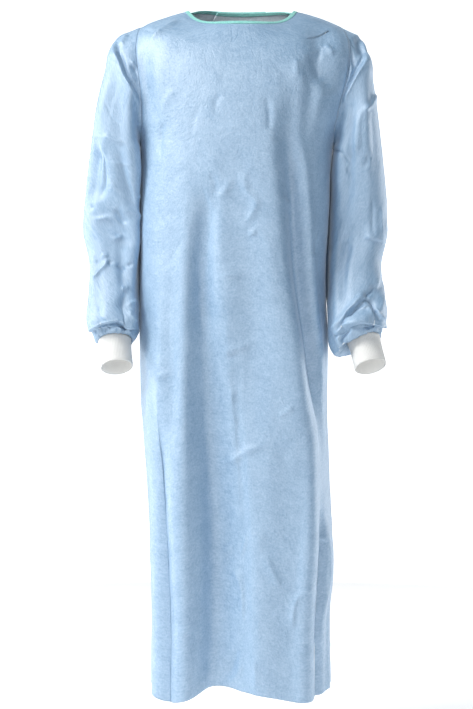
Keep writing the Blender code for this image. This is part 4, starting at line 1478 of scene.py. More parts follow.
@dataclass(frozen=True)
class TapeFinish(Finish):
    """Narrow woven tape, with fine ribs across it."""

    rib: float = 0.0009

    def material(self) -> Material:
        """The finish as a material.

        Returns:
            The material.
        """
        graph = Graph(self.name)
        flat = graph.flat_place()
        lines = graph.turned(flat, 0.0, (math.tau / self.rib, math.tau / (self.rib * 2.0), 1.0))
        across, up = graph.first_two(lines)
        weave = across.sine() * 0.6 + across.sine() * up.sine() * 0.4
        wear = graph.noise(flat, 160.0, 3.0, 0.55)
        shade = weave * 0.22 + (wear - 0.5) * 0.9 + 0.55
        return graph.finish(
            Base_Color=graph.mix(shade, self.deep, self.pale),
            Roughness=(wear - 0.5) * 0.2 + 0.6,
            Normal=graph.bump(weave + wear * 0.6, 0.45, 0.0004),
            Sheen_Weight=0.2,
            Sheen_Roughness=0.4,
            Specular_IOR_Level=0.35,
        )


@dataclass(frozen=True)
class ThreadFinish(Finish):
    """Twisted sewing thread."""

    def material(self) -> Material:
        """The finish as a material.

        Returns:
            The material.
        """
        graph = Graph(self.name)
        place = graph.object_place()
        twist = graph.noise(graph.turned(place, 40.0, (1.0, 0.3, 1.0)), 2600.0, 2.0, 0.5)
        return graph.finish(
            Base_Color=graph.mix((twist - 0.5) * 1.6 + 0.5, self.deep, self.pale),
            Roughness=(twist - 0.5) * 0.3 + 0.55,
            Normal=graph.bump(twist, 0.4, 0.0002),
        )


@dataclass(frozen=True)
class HookFinish(Finish):
    """Hook and loop patch, read in the gown's own frame."""

    def material(self) -> Material:
        """The finish as a material.

        Returns:
            The material.
        """
        graph = Graph(self.name)
        place = graph.object_place()
        hooks = graph.node("ShaderNodeTexVoronoi", None, {"Vector": place, "Scale": 700.0})
        fuzz = graph.noise(place, 400.0, 3.0, 0.6)
        return graph.finish(
            Base_Color=graph.mix(hooks * 0.8 + fuzz * 0.4, self.deep, self.pale),
            Roughness=(fuzz - 0.5) * 0.2 + 0.8,
            Normal=graph.bump(hooks, 0.6, 0.0006),
        )


@dataclass(frozen=True)
class PlainFinish:
    """Plain surroundings: the floor and the ground behind."""

    name: str
    colour: Colour
    glow: float

    def material(self) -> Material:
        """The finish as a material.

        Returns:
            The material.
        """
        graph = Graph(self.name)
        return graph.finish(
            Base_Color=(*self.colour, 1.0), Roughness=0.9,
            Emission_Color=(*self.colour, 1.0), Emission_Strength=self.glow,
        )


class Finishes:
    """Every finish of the gown, made once."""

    def __init__(self) -> None:
        """Make the materials."""
        self.outside = NonwovenFinish(
            "nonwoven_outside", (0.116, 0.245, 0.405), (0.286, 0.428, 0.592)).material()
        self.inside = NonwovenFinish(
            "nonwoven_inside", (0.52, 0.62, 0.70), (0.78, 0.84, 0.88), relief=0.7).material()
        knit = (0.60, 0.60, 0.59), (0.76, 0.76, 0.745)
        self.knit = KnitFinish("knit_cuff", *knit).material()
        # the cuffs' inside: the same knit with a painted glow that brightens its shade
        self.knit_inside_painted_glow = KnitFinish("knit_cuff_inside_painted_glow", *knit, glow=0.27).material()
        self.binding = TapeFinish(
            "binding_tape", (0.12, 0.44, 0.41), (0.36, 0.72, 0.68)).material()
        self.thread = ThreadFinish(
            "binding_thread", (0.10, 0.42, 0.38), (0.30, 0.70, 0.62)).material()
        self.seam_thread = ThreadFinish(
            "seam_thread", (0.42, 0.58, 0.76), (0.70, 0.80, 0.90)).material()
        self.hooks = HookFinish("hook_patch", (0.62, 0.64, 0.64), (0.88, 0.89, 0.88)).material()


# ---- stitches --------------------------------------------------------------
class StitchTree:
    """Geometry Nodes that lay stitches along the edges of a mesh."""

    def __init__(self) -> None:
        """Build the tree with its named inputs."""
        self.tree = bpy.data.node_groups.new("stitches_along", "GeometryNodeTree")
        face = self.tree.interface
        face.new_socket("Geometry", in_out="INPUT", socket_type="NodeSocketGeometry")
        sizes = (("Spacing", "NodeSocketFloat"), ("Length", "NodeSocketFloat"),
                 ("Thickness", "NodeSocketFloat"), ("Material", "NodeSocketMaterial"))
        self.identifiers = {
            name: face.new_socket(name, in_out="INPUT", socket_type=kind).identifier
            for name, kind in sizes
        }
        face.new_socket("Geometry", in_out="OUTPUT", socket_type="NodeSocketGeometry")
        self._wire()

    def _add(self, kind: str, settings: dict | None = None, inputs: dict | None = None) -> Node:
        """Add a node to the tree."""
        return add_node(self.tree, kind, settings, inputs)

    def _wire(self) -> None:
        """Link path, spacing, stitch shape and material."""
        given = self._add("NodeGroupInput").outputs
        path = self._add("GeometryNodeMeshToCurve", None, {"Mesh": given["Geometry"]})
        spaced = self._add("GeometryNodeResampleCurve", {"mode": "LENGTH"},
                           {"Curve": path.outputs[0], "Length": given["Spacing"]})
        tangent = self._add("GeometryNodeInputTangent")
        lie = self._add("FunctionNodeAlignRotationToVector", {"axis": "Z"},
                        {"Vector": tangent.outputs[0]})
        bead = self._add("GeometryNodeMeshUVSphere", None,
                         {"Segments": 6, "Rings": 4, "Radius": 0.5})
        size = self._add("ShaderNodeCombineXYZ", None, {
            "X": given["Thickness"], "Y": given["Thickness"], "Z": given["Length"]})
        laid = self._add("GeometryNodeInstanceOnPoints", None, {
            "Points": spaced.outputs[0], "Instance": bead.outputs[0],
            "Rotation": lie.outputs[0], "Scale": size.outputs[0]})
        real = self._add("GeometryNodeRealizeInstances", None, {"Geometry": laid.outputs[0]})
        dressed = self._add("GeometryNodeSetMaterial", None, {
            "Geometry": real.outputs[0], "Material": given["Material"]})
        self._add("NodeGroupOutput", None, {0: dressed.outputs[0]})

    def lay(self, name: str, lines: Sequence[Array], spacing: float, length: float,
            thickness: float, material: Material) -> Object:
        """Stitches along lines, as one plain mesh.

        Args:
            name: Of the piece.
            lines: Each a row of points in metres.
            spacing: From one stitch to the next.
            length: Of a stitch.
            thickness: Of the thread.
            material: Its finish.

        Returns:
            The piece.
        """
        points, edges = [], []
        for line in lines:
            first = len(points)
            points += line.tolist()
            edges += [(index, index + 1) for index in range(first, len(points) - 1)]
        mesh = bpy.data.meshes.new(name + "_path")
        mesh.from_pydata(points, edges, [])
        path = add_object(name + "_path", mesh)
        laid = path.modifiers.new("stitches", "NODES")
        laid.node_group = self.tree
        values = {"Spacing": spacing, "Length": length, "Thickness": thickness,
                  "Material": material}
        for key, value in values.items():
            laid[self.identifiers[key]] = value
        evaluated = path.evaluated_get(bpy.context.evaluated_depsgraph_get())
        result = bpy.data.meshes.new_from_object(evaluated)
        result.name = name
        result.shade_smooth()
        bpy.data.objects.remove(path, do_unlink=True)
        return add_object(name, result)


# ---- pieces ----------------------------------------------------------------
@dataclass(frozen=True)
class Flat:
    """The flat cut of a piece, in metres and square metres."""

    width: float
    length: float
    area: float


def stand_for(item: Object, node: str | None) -> None:
    """Let a piece ride on the gown and stand for its solid.

    Args:
        item: The piece.
        node: The solid, where it has one.
    """
    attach(item, ROOT_BODY)
    if node:
        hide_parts(node)


def add_cloth(name: str, node: str, grid: ClothGrid, finishes: Finishes) -> Object:
    """A piece of the gown's cloth with its wall, outside and inside, standing for its solid.

    Args:
        name: Of the piece.
        node: Its solid.
        grid: Its surface.
        finishes: The gown's finishes.

    Returns:
        The piece.
    """
    item = add_object(name, grid.mesh(name), (finishes.outside, finishes.inside))
    wall = item.modifiers.new("wall", "SOLIDIFY")
    wall.thickness = CLOTH_WALL * MM
    wall.offset = -1.0
    wall.material_offset = 1
    stand_for(item, node)
    LOG.info("%s: %.3f square metres", name, grid.area())
    return item


def seen_places(points: Array) -> Array:
    """Where the viewer sees points, at the gown's middle plane, as x and z in millimetres.

    Args:
        points: In millimetres.

    Returns:
        Two numbers for each.
    """
    eye = np.array(VIEWER) / MM
    scale = -eye[1] / (points[..., 1] - eye[1])
    across = (points[..., 0] - eye[0]) * scale + eye[0]
    return np.stack([across, (points[..., 2] - eye[2]) * scale + eye[2]], -1)


def crumple(points: Array, seed: int) -> Array:
    """Unevenness of cloth that keeps its own stiffness, in millimetres: slow, middle, quick.

    Args:
        points: In millimetres.
        seed: Picks one pattern of many.

    Returns:
        A height in millimetres for each point.
    """
    sizes_and_heights = ((105.0, 1.5), (46.0, 0.65), (19.0, 0.22))
    return sum(cloud(points, size, seed + step) * height
               for step, (size, height) in enumerate(sizes_and_heights))


def faint_relief(grid: ClothGrid, count: int, seed: int) -> Array:
    """Heights of the faint creases over a cloth, laid on its flat cut.

    Args:
        grid: The cloth.
        count: How many creases.
        seed: Picks one pattern of many.

    Returns:
        A height in millimetres for each point.
    """
    across, along = grid.across(), grid.along()
    flat = np.stack([across - across[:, -1:] / 2.0, along], -1)
    width, length = float(across[:, -1].max()), float(along[-1].max())
    return CreaseField(faint_creases(width, length, count, seed)).heights(flat)


@dataclass
class BodyPanel:
    """A panel of the body, from the hem to the neck."""

    name: str
    node: str
    seed: int
    flat: Flat
    faint: int
    body: BodyForm

    ROLL, ROLL_AT, ROLL_WIDTH = 1.3, 7.0, 4.5   # the cloth bulges beside an armhole seam
    ROLL_EVENNESS = 0.6         # 0 is the same all round the armhole, 1 dies away like a sine
    SEAM_DIP, SEAM_WIDTH = -0.2, 1.6
    TOP_FADE = 16.0
    CLEAR_LIFT = 1.0            # most that the sides rise where the sleeves hang beside them:
    CLEAR_TOP, CLEAR_LOW = -250.0, -650.0
    CLEAR_REACH = 60.0

    def angles(self, rows: Array, turns: Array) -> Array:
        """Angles of every point, row by row."""
        raise NotImplementedError

    def grid(self, angles: Array, rows: Array) -> ClothGrid:
        """The plain surface."""
        raise NotImplementedError

    def hand_creases(self, grid: ClothGrid) -> Array:
        """Heights of the creases that are placed one by one."""
        raise NotImplementedError

    def seam_distance(self, grid: ClothGrid) -> Array:
        """Distance of every point from the nearer side or armhole seam."""
        raise NotImplementedError

    def relief(self, grid: ClothGrid, turns: Array) -> Array:
        """All heights over the plain surface.

        Args:
            grid: The plain surface.
            turns: Of each row round the armhole, or -1.

        Returns:
            A height in millimetres for each point.
        """
        from_seam, along, z = self.seam_distance(grid), grid.along(), grid.points[..., 2]
        from_top = along[-1] - along
        heights = self.hand_creases(grid) + crumple(grid.points, self.seed)
        faint = faint_relief(grid, self.faint, self.seed)
        heights = heights + faint * smooth_step(from_top / FAINT_FADE)
        heights *= smooth_step(from_seam / SEAM_FADE) * smooth_step(from_top / self.TOP_FADE)
        beside = (z < self.CLEAR_TOP) & (z > self.CLEAR_LOW) & (from_seam < self.CLEAR_REACH)
        heights = np.where(beside, np.minimum(heights, self.CLEAR_LIFT), heights)
        armhole = (turns >= 0.0) * np.sin(np.maximum(turns, 0.0)) ** self.ROLL_EVENNESS
        roll = np.exp(-((from_seam - self.ROLL_AT) / self.ROLL_WIDTH) ** 2)
        heights += self.ROLL * roll * armhole[:, None]
        return heights + self.SEAM_DIP * np.exp(-(from_seam / self.SEAM_WIDTH) ** 2)

    def build(self, finishes: Finishes) -> Object:
        """Make the panel and dress it.

        Args:
            finishes: The gown's finishes.

        Returns:
            The piece.
        """
        rows, turns = self.body.panel_rows()
        angles = self.angles(rows, turns)
        grid = self.grid(angles, rows[:, None] * np.ones_like(angles))
        grid.raise_by(self.relief(grid, turns))
        return add_cloth(self.name, self.node, grid, finishes)


@dataclass
class FrontPanel(BodyPanel):
    """The front, from side seam to side seam."""

    CREASE_GAIN = 1.9

    def angles(self, rows: Array, turns: Array) -> Array:
        """Angles of every point, row by row.

        Args:
            rows: Of the rings; not used.
            turns: Round the armhole, or -1.

        Returns:
            Degrees from the front centre.
        """
        reach = np.where(turns < 0.0, SEAM_ANGLE,
                         self.body.armhole(np.maximum(turns, 0.0), FRONT_SCOOP)[0])
        return reach[:, None] * np.linspace(-1.0, 1.0, FRONT_COLUMNS + 1)

    def grid(self, angles: Array, rows: Array) -> ClothGrid:
        """The plain surface."""
        return ClothGrid(self.body.point(angles, rows), False, 1)

    def hand_creases(self, grid: ClothGrid) -> Array:
        """Heights of the creases that are placed one by one.

        Args:
            grid: The plain surface.

        Returns:
            A height in millimetres for each point.
        """
        seen = seen_places(grid.points)
        heights = CreaseField(FRONT_CREASES).heights(seen) * self.CREASE_GAIN
        return heights + CreaseField(FRONT_DRAPE).heights(seen)

    def seam_distance(self, grid: ClothGrid) -> Array:
        """Distance of every point from the nearer side or armhole seam."""
        across = grid.across()
        return np.minimum(across, across[:, -1:] - across)


@dataclass
class BackPanel(BodyPanel):
    """A back, from its side seam past the back centre; the outer one lies over the inner."""

    side: int
    outer: bool
    overlap: Array | None = None    # how surely each point lies where the backs overlap

    OVERLAP_FROM, OVERLAP_FADE = 140.0, 20.0    # degrees
    LOOSE, TIGHT = 4.0, 1.2     # how far a back may move away from the other and towards it
    EDGE_CURL, EDGE_REACH = 1.2, 14.0

    def angles(self, rows: Array, turns: Array) -> Array:
        """Angles of every point, row by row.

        Args:
            rows: Of the rings; not used.
            turns: Round the armhole, or -1.

        Returns:
            Degrees from the front centre.
        """
        start = np.where(turns < 0.0, SEAM_ANGLE, 2.0 * SEAM_ANGLE
                         - self.body.armhole(np.maximum(turns, 0.0), BACK_SCOOP)[0])
        share = np.linspace(0.0, 1.0, BACK_COLUMNS + 1)
        return self.side * blend(start[:, None], 180.0 + OVERLAP, share[None])

    def grid(self, angles: Array, rows: Array) -> ClothGrid:
        """The plain surface.

        Args:
            angles: Of every point.
            rows: Of every point.

        Returns:
            The surface.
        """
        lift = self.body.outer_lift(angles) if self.outer else np.zeros_like(angles)
        past = np.abs(angles) - self.OVERLAP_FROM
        self.overlap = smooth_step(past / self.OVERLAP_FADE)
        return ClothGrid(self.body.lifted(angles, rows, lift), False, self.side)

    def hand_creases(self, grid: ClothGrid) -> Array:
        """Heights of the creases that are placed one by one."""
        return CreaseField(BACK_CREASES).heights(grid.points[..., (0, 2)])

    def seam_distance(self, grid: ClothGrid) -> Array:
        """Distance of every point from its side or armhole seam."""
        return grid.across()

    def relief(self, grid: ClothGrid, turns: Array) -> Array:
        """All heights, kept apart where the two backs lie on each other.

        Args:
            grid: The plain surface.
            turns: Of each row round the armhole, or -1.

        Returns:
            A height in millimetres for each point.
        """
        heights = super().relief(grid, turns)
        limits = (-self.TIGHT, self.LOOSE) if self.outer else (-self.LOOSE, self.TIGHT)
        heights = blend(heights, np.clip(heights, *limits), self.overlap)
        if self.outer:
            across = grid.across()
            near_edge = 1.0 - (across[:, -1:] - across) / self.EDGE_REACH
            heights += self.EDGE_CURL * smooth_step(near_edge)
        return heights


class SideMove(NamedTuple):
    """How far a sleeve's inner side moves towards the body about one height."""

    z: float
    reach: float
    move: float


@dataclass
class Sleeve:
    """A set-in sleeve, from the armhole to the cuff."""

    name: str
    node: str
    side: int
    seed: int
    flat: Flat
    form: SleeveForm
    front_creases: tuple[Crease, ...]
    back_creases: tuple[Crease, ...]
    closing: float              # how much nearer to the body the upper arm hangs
    moves: tuple[SideMove, ...]

    FAINT = 46
    CREASE_GAIN = 1.6
    FRONT_FROM, FRONT_FADE = 0.25, 0.4  # the creases pass from the front's to the back's
    BACK_FROM, BACK_FADE = 0.02, 0.3    # where the cloth turns away from the viewer
    GATHER_HEIGHT, GATHER_REACH, GATHER_FADE = 1.5, 34.0, 5.0
    CUFF_FADE = 9.0
    UNDER_BULGE = 3.0
    INNER_SIDE, INNERMOST = 52.0, 34.0  # degrees to each side of the inner line
    CLEAR_FROM, CLEAR_FADE = -230.0, 40.0
    CLEAR_LIFT = 0.4            # most that the innermost cloth rises towards the body
    CLOSE_TOP, CLOSE_TOP_FADE = -252.0, 9.0
    CLOSE_LOW, CLOSE_LOW_FADE = -365.0, 60.0
    RIM_LIFT = 0.5
    SEAM_DIP, SEAM_WIDTH = 0.2, 1.8

    def grid(self) -> ClothGrid:
        """The plain surface.

        Returns:
            Its rows run from the armhole to the cuff.
        """
        turns = round_turns(SLEEVE_COLUMNS)[None]
        shares = np.linspace(0.0, 1.0, CAP_ROWS, endpoint=False)[:, None]
        turn, share = np.broadcast_arrays(turns, shares)
        cap = self.form.cap(turn, share)
        rows = np.linspace(0.0, self.form.last, TUBE_ROWS + 1)[:, None]
        tube = self.form.tube(turns, rows)
        rim = self.form.cuff(turns, np.zeros((1, 1)))
        rim_out = self.form.cuff(turns, np.zeros((1, 1)), self.RIM_LIFT)
        under = []
        for step in range(1, TURN_UNDER_ROWS + 1):
            part = step / TURN_UNDER_ROWS
            bulge = np.array((0.0, 0.0, -self.UNDER_BULGE)) * math.sin(math.pi * part)
            under.append(blend(tube[-1:], rim_out if part < 1.0 else rim, part) + bulge)
        return ClothGrid(np.concatenate([cap, tube, *under]), True, -self.side)

    def gathers(self, turn: Array, from_cuff: Array) -> Array:
        """Fine uneven gathers that run out of the cuff's seam.

        Args:
            turn: Round the sleeve, in radians.
            from_cuff: Millimetres from the cuff's seam.

        Returns:
            A height in millimetres for each point.
        """
        waves = (np.cos(23 * turn + 1.3 * np.sin(2 * turn)) * 0.6
                 + np.cos(37 * turn + 2.1 * np.cos(3 * turn)) * 0.4)
        return self.GATHER_HEIGHT * waves * np.exp(-(from_cuff / self.GATHER_REACH) ** 2)

    def relief(self, grid: ClothGrid) -> Array:
        """All heights over the plain surface.

        Args:
            grid: The plain surface.

        Returns:
            A height in millimetres for each point.
        """
        points, facing = grid.points, grid.normals()[..., 1]
        front = CreaseField(self.front_creases).heights(seen_places(points))
        back = CreaseField(self.back_creases).heights(points[..., (0, 2)])
        heights = front * smooth_step((self.FRONT_FROM - facing) / self.FRONT_FADE)
        heights += back * smooth_step((facing - self.BACK_FROM) / self.BACK_FADE)
        heights *= self.CREASE_GAIN
        heights += faint_relief(grid, self.FAINT, self.seed)
        heights += crumple(points, self.seed)
        along, z = grid.along(), points[..., 2]
        from_cuff = along[-1] - along
        turn = round_turns(SLEEVE_COLUMNS)[None]
        heights *= smooth_step(along / SEAM_FADE) * smooth_step(from_cuff / self.CUFF_FADE)
        heights += self.gathers(turn, from_cuff) * smooth_step(from_cuff / self.GATHER_FADE)
        from_inner = turn_between(np.degrees(turn), 0.0)
        beside = np.exp(-(from_inner / self.INNERMOST) ** 4)
        beside = beside * smooth_step((self.CLEAR_FROM - z) / self.CLEAR_FADE)
        heights = blend(heights, np.minimum(heights, self.CLEAR_LIFT), beside)
        nearer = self.closing * smooth_step((self.CLOSE_TOP - z) / self.CLOSE_TOP_FADE)
        nearer *= smooth_step((z - self.CLOSE_LOW) / self.CLOSE_LOW_FADE)
        nearer += sum(way.move * np.exp(-((z - way.z) / way.reach) ** 2) for way in self.moves)
        heights += nearer * np.exp(-(from_inner / self.INNER_SIDE) ** 4)
        return heights - self.SEAM_DIP * np.exp(-(along / self.SEAM_WIDTH) ** 2)

    def build(self, finishes: Finishes) -> Object:
        """Make the sleeve and dress it.

        Args:
            finishes: The gown's finishes.

        Returns:
            The piece.
        """
        grid = self.grid()
        grid.raise_by(self.relief(grid))
        return add_cloth(self.name, self.node, grid, finishes)


def mirrored(creases: Sequence[Crease], drop: float) -> tuple[Crease, ...]:
    """The creases of one side on the other, a little lower.

    Args:
        creases: Of one side.
        drop: How much lower, in millimetres.

    Returns:
        Those of the other side.
    """
    turned = {Lay.LINE: Lay.LINE, Lay.OVER_LEFT: Lay.OVER_RIGHT, Lay.OVER_RIGHT: Lay.OVER_LEFT}
    return tuple(
        crease._replace(points=tuple((-x, z - drop) for x, z in crease.points),
                        lay=turned[crease.lay])
        for crease in creases
    )


@dataclass
class Cuff:
    """A knitted cuff: a doubled tube with ribs along it."""

    name: str
    node: str
    form: SleeveForm

    RIBS, RIB_HEIGHT = 66, 0.32
    COLUMNS, WALL_ROWS, RIM_ROWS = 396, 18, 5
    WALL = 2.2
    START, END, RIM = -0.02, 0.985, 0.022   # shares of the cuff's length
    SLACK, SLACK_RADIUS, SLACK_SIZE, SLACK_SEED = 0.5, 30.0, 22.0, 5

    def build(self, finishes: Finishes) -> Object:
        """Make the cuff and dress it.

        Args:
            finishes: The gown's finishes.

        Returns:
            The piece.
        """
        turns = round_turns(self.COLUMNS)[None]
        down = np.linspace(self.START, self.END, self.WALL_ROWS)
        rim = np.linspace(0.0, math.pi, self.RIM_ROWS + 2)[1:-1]
        shares = np.concatenate([down, self.END + self.RIM * np.sin(rim), down[::-1]])
        depth = np.concatenate([0.0 * down, self.WALL * (1.0 - np.cos(rim)) / 2.0,
                                0.0 * down + self.WALL])
        ribs = self.RIB_HEIGHT * (np.abs(np.cos(self.RIBS * turns / 2.0)) - 0.5)
        outer = np.linspace(1.0, 0.0, len(shares))[:, None] > 0.5
        ring = np.concatenate([np.cos(turns), np.sin(turns)]).T[None] * self.SLACK_RADIUS
        slack = cloud(ring, self.SLACK_SIZE, self.SLACK_SEED) * self.SLACK
        lift = np.where(outer, ribs, -0.5 * ribs) + slack - depth[:, None]
        points = self.form.cuff(turns, shares[:, None], lift)
        grid = ClothGrid(np.concatenate([points, points[:1]]), True, -self.form.side)
        mesh = grid.mesh(self.name)
        inside = np.arange(len(points)) >= self.WALL_ROWS + self.RIM_ROWS
        mesh.polygons.foreach_set("material_index", np.repeat(inside, self.COLUMNS).astype(int))
        # the inner layer takes the knit with the painted glow
        item = add_object(self.name, mesh, (finishes.knit, finishes.knit_inside_painted_glow))
        weld_ends(item)
        stand_for(item, self.node)
        LOG.info("%s: %d quads", self.name, len(mesh.polygons))
        return item


@dataclass
class Binding:
    """The folded tape over the neck edge, with its stitches."""

    name: str
    node: str
    body: BodyForm

    STATIONS = 520
    OUTER, INNER = 0.95, -1.75          # its two faces, outwards from the cloth's edge
    SLOT_OUTER, SLOT_INNER, SLOT_TOP = 0.4, -1.2, -2.0
    OUTER_BEND, INNER_BEND = 1.35, 0.8
    FACE_SHARES = (1.0, 0.86, 0.6, 0.3)
    FRAME_ROWS = 0.12
    STITCH_DEPTH, STITCH_WIDTH, STITCH_PULL, STITCH_SUNK = 4.6, 1.1, 0.22, 0.12
    PUCKER_FROM, PUCKER_TO, PUCKER_FADE = 24.0, 62.0, 10.0      # degrees
    RIPPLE, RIPPLE_PITCH = 0.10, 3.0
    PUCKER, PUCKER_PITCH = 0.45, 4.2
    SWELL, SWELL_SIZE, SWELL_SEED = 0.16, 9.0, 3
    LAST_STEP = 0.5             # the last side of the section, on the flat tape

    def section(self) -> Array:
        """Corners of the folded section, as outwards and upwards from the cloth's edge.

        Returns:
            Two numbers for each corner.
        """
        middle = (self.OUTER + self.INNER) / 2.0
        over = [(middle + self.OUTER_BEND * math.cos(a), self.OUTER_BEND * math.sin(a))
                for a in np.linspace(0.0, math.pi, 9)]
        under = [(middle + self.INNER_BEND * math.cos(a), self.INNER_BEND * math.sin(a))
                 for a in np.linspace(math.pi, 0.0, 5)]
        low = -BINDING_WIDTH
        down = [(self.OUTER, low * share) for share in self.FACE_SHARES]
        back = [(self.INNER, low * share) for share in reversed(self.FACE_SHARES)]
        return np.array([*down, *over, *back, (self.SLOT_INNER, low),
                         (self.SLOT_INNER, self.SLOT_TOP), *under,
                         (self.SLOT_OUTER, self.SLOT_TOP), (self.SLOT_OUTER, low)])

    def frames(self, angles: Array) -> tuple[Array, Array, Array]:
        """Edge points, outward and upward directions.

        Args:
            angles: From the front centre, in degrees.

        Returns:
            Those three.
        """
        row = np.full_like(angles, float(TOP_ROW))
        place, out, up = self.body.frame(angles, row, self.FRAME_ROWS)
        lift = np.where(angles < 0.0, self.body.outer_lift(angles), 0.0)
        return place + out * lift[:, None], out, up

    def build(self, finishes: Finishes, stitches: StitchTree) -> None:
        """Make the tape and its stitches, from one back's free edge round to the other's.

        Args:
            finishes: The gown's finishes.
            stitches: What lays the stitches.
        """
        angles = np.linspace(-180.0 - OVERLAP, 180.0 + OVERLAP, self.STATIONS)
        place, out, up = self.frames(angles)
        passed = np.concatenate([[0.0], np.cumsum(np.linalg.norm(np.diff(place, axis=0), axis=1))])
        section = self.section()
        outward = np.broadcast_to(section[:, 0], (len(angles), len(section)))
        upward = np.broadcast_to(section[:, 1], outward.shape)
        low = np.clip(-upward / BINDING_WIDTH, 0.0, 1.0)
        pull = self.STITCH_PULL * np.exp(-((-upward - self.STITCH_DEPTH) / self.STITCH_WIDTH) ** 2)
        puckered = smooth_step((angles - self.PUCKER_FROM) / self.PUCKER_FADE)
        puckered = puckered * smooth_step((self.PUCKER_TO - angles) / self.PUCKER_FADE)
        ripple = self.RIPPLE * np.cos(math.tau * passed / self.RIPPLE_PITCH)
        ripple += self.PUCKER * puckered * np.cos(
            math.tau * passed / self.PUCKER_PITCH + 1.5 * np.sin(passed / 9.0))
        swell = cloud(np.stack([passed, passed * 0.0], -1), self.SWELL_SIZE, self.SWELL_SEED)
        sign = np.where(outward > (self.OUTER + self.INNER) / 2.0, 1.0, -1.0)
        outward = outward + sign * ((ripple + swell * self.SWELL)[:, None] * low - pull)
        points = place[:, None] + out[:, None] * outward[..., None]
        points = points + up[:, None] * upward[..., None]
        item = add_object(self.name, self.closed_mesh(points, passed), (finishes.binding,))
        stand_for(item, self.node)
        lines = [(place + out * side - up * self.STITCH_DEPTH) * MM
                 for side in (self.OUTER - self.STITCH_SUNK, self.INNER + self.STITCH_SUNK)]
        thread = stitches.lay("binding_stitches", lines, 0.0030, 0.0021, 0.0004,
                              finishes.thread)
        stand_for(thread, None)
        LOG.info("%s: %.0f mm long", self.name, passed[-1])

    def closed_mesh(self, points: Array, passed: Array) -> Mesh:
        """The tape with its two ends closed.

        Args:
            points: A section for each station along the edge.
            passed: How far along the edge each station is.

        Returns:
            The mesh.
        """
        index = np.arange(points[..., 0].size).reshape(points.shape[:2])
        closed = np.concatenate([index, index[:, :1]], 1)
        round_it = np.linalg.norm(np.diff(self.section(), axis=0), axis=1)
        across = np.concatenate([[0.0], np.cumsum(round_it), [round_it.sum() + self.LAST_STEP]])
        flat = np.stack(np.meshgrid(passed * MM, across * MM, indexing="ij"), -1)
        order = (0, 3, 2, 1)
        corners = quad_corners(closed)[..., order].reshape(-1, 4)
        faces = corners.tolist() + [index[0].tolist(), index[-1][::-1].tolist()]
        flat = quad_corners(flat)[:, :, order].reshape(-1, 4, 2)
        return mesh_from_faces(self.name, points.reshape(-1, 3) * MM, faces, flat)


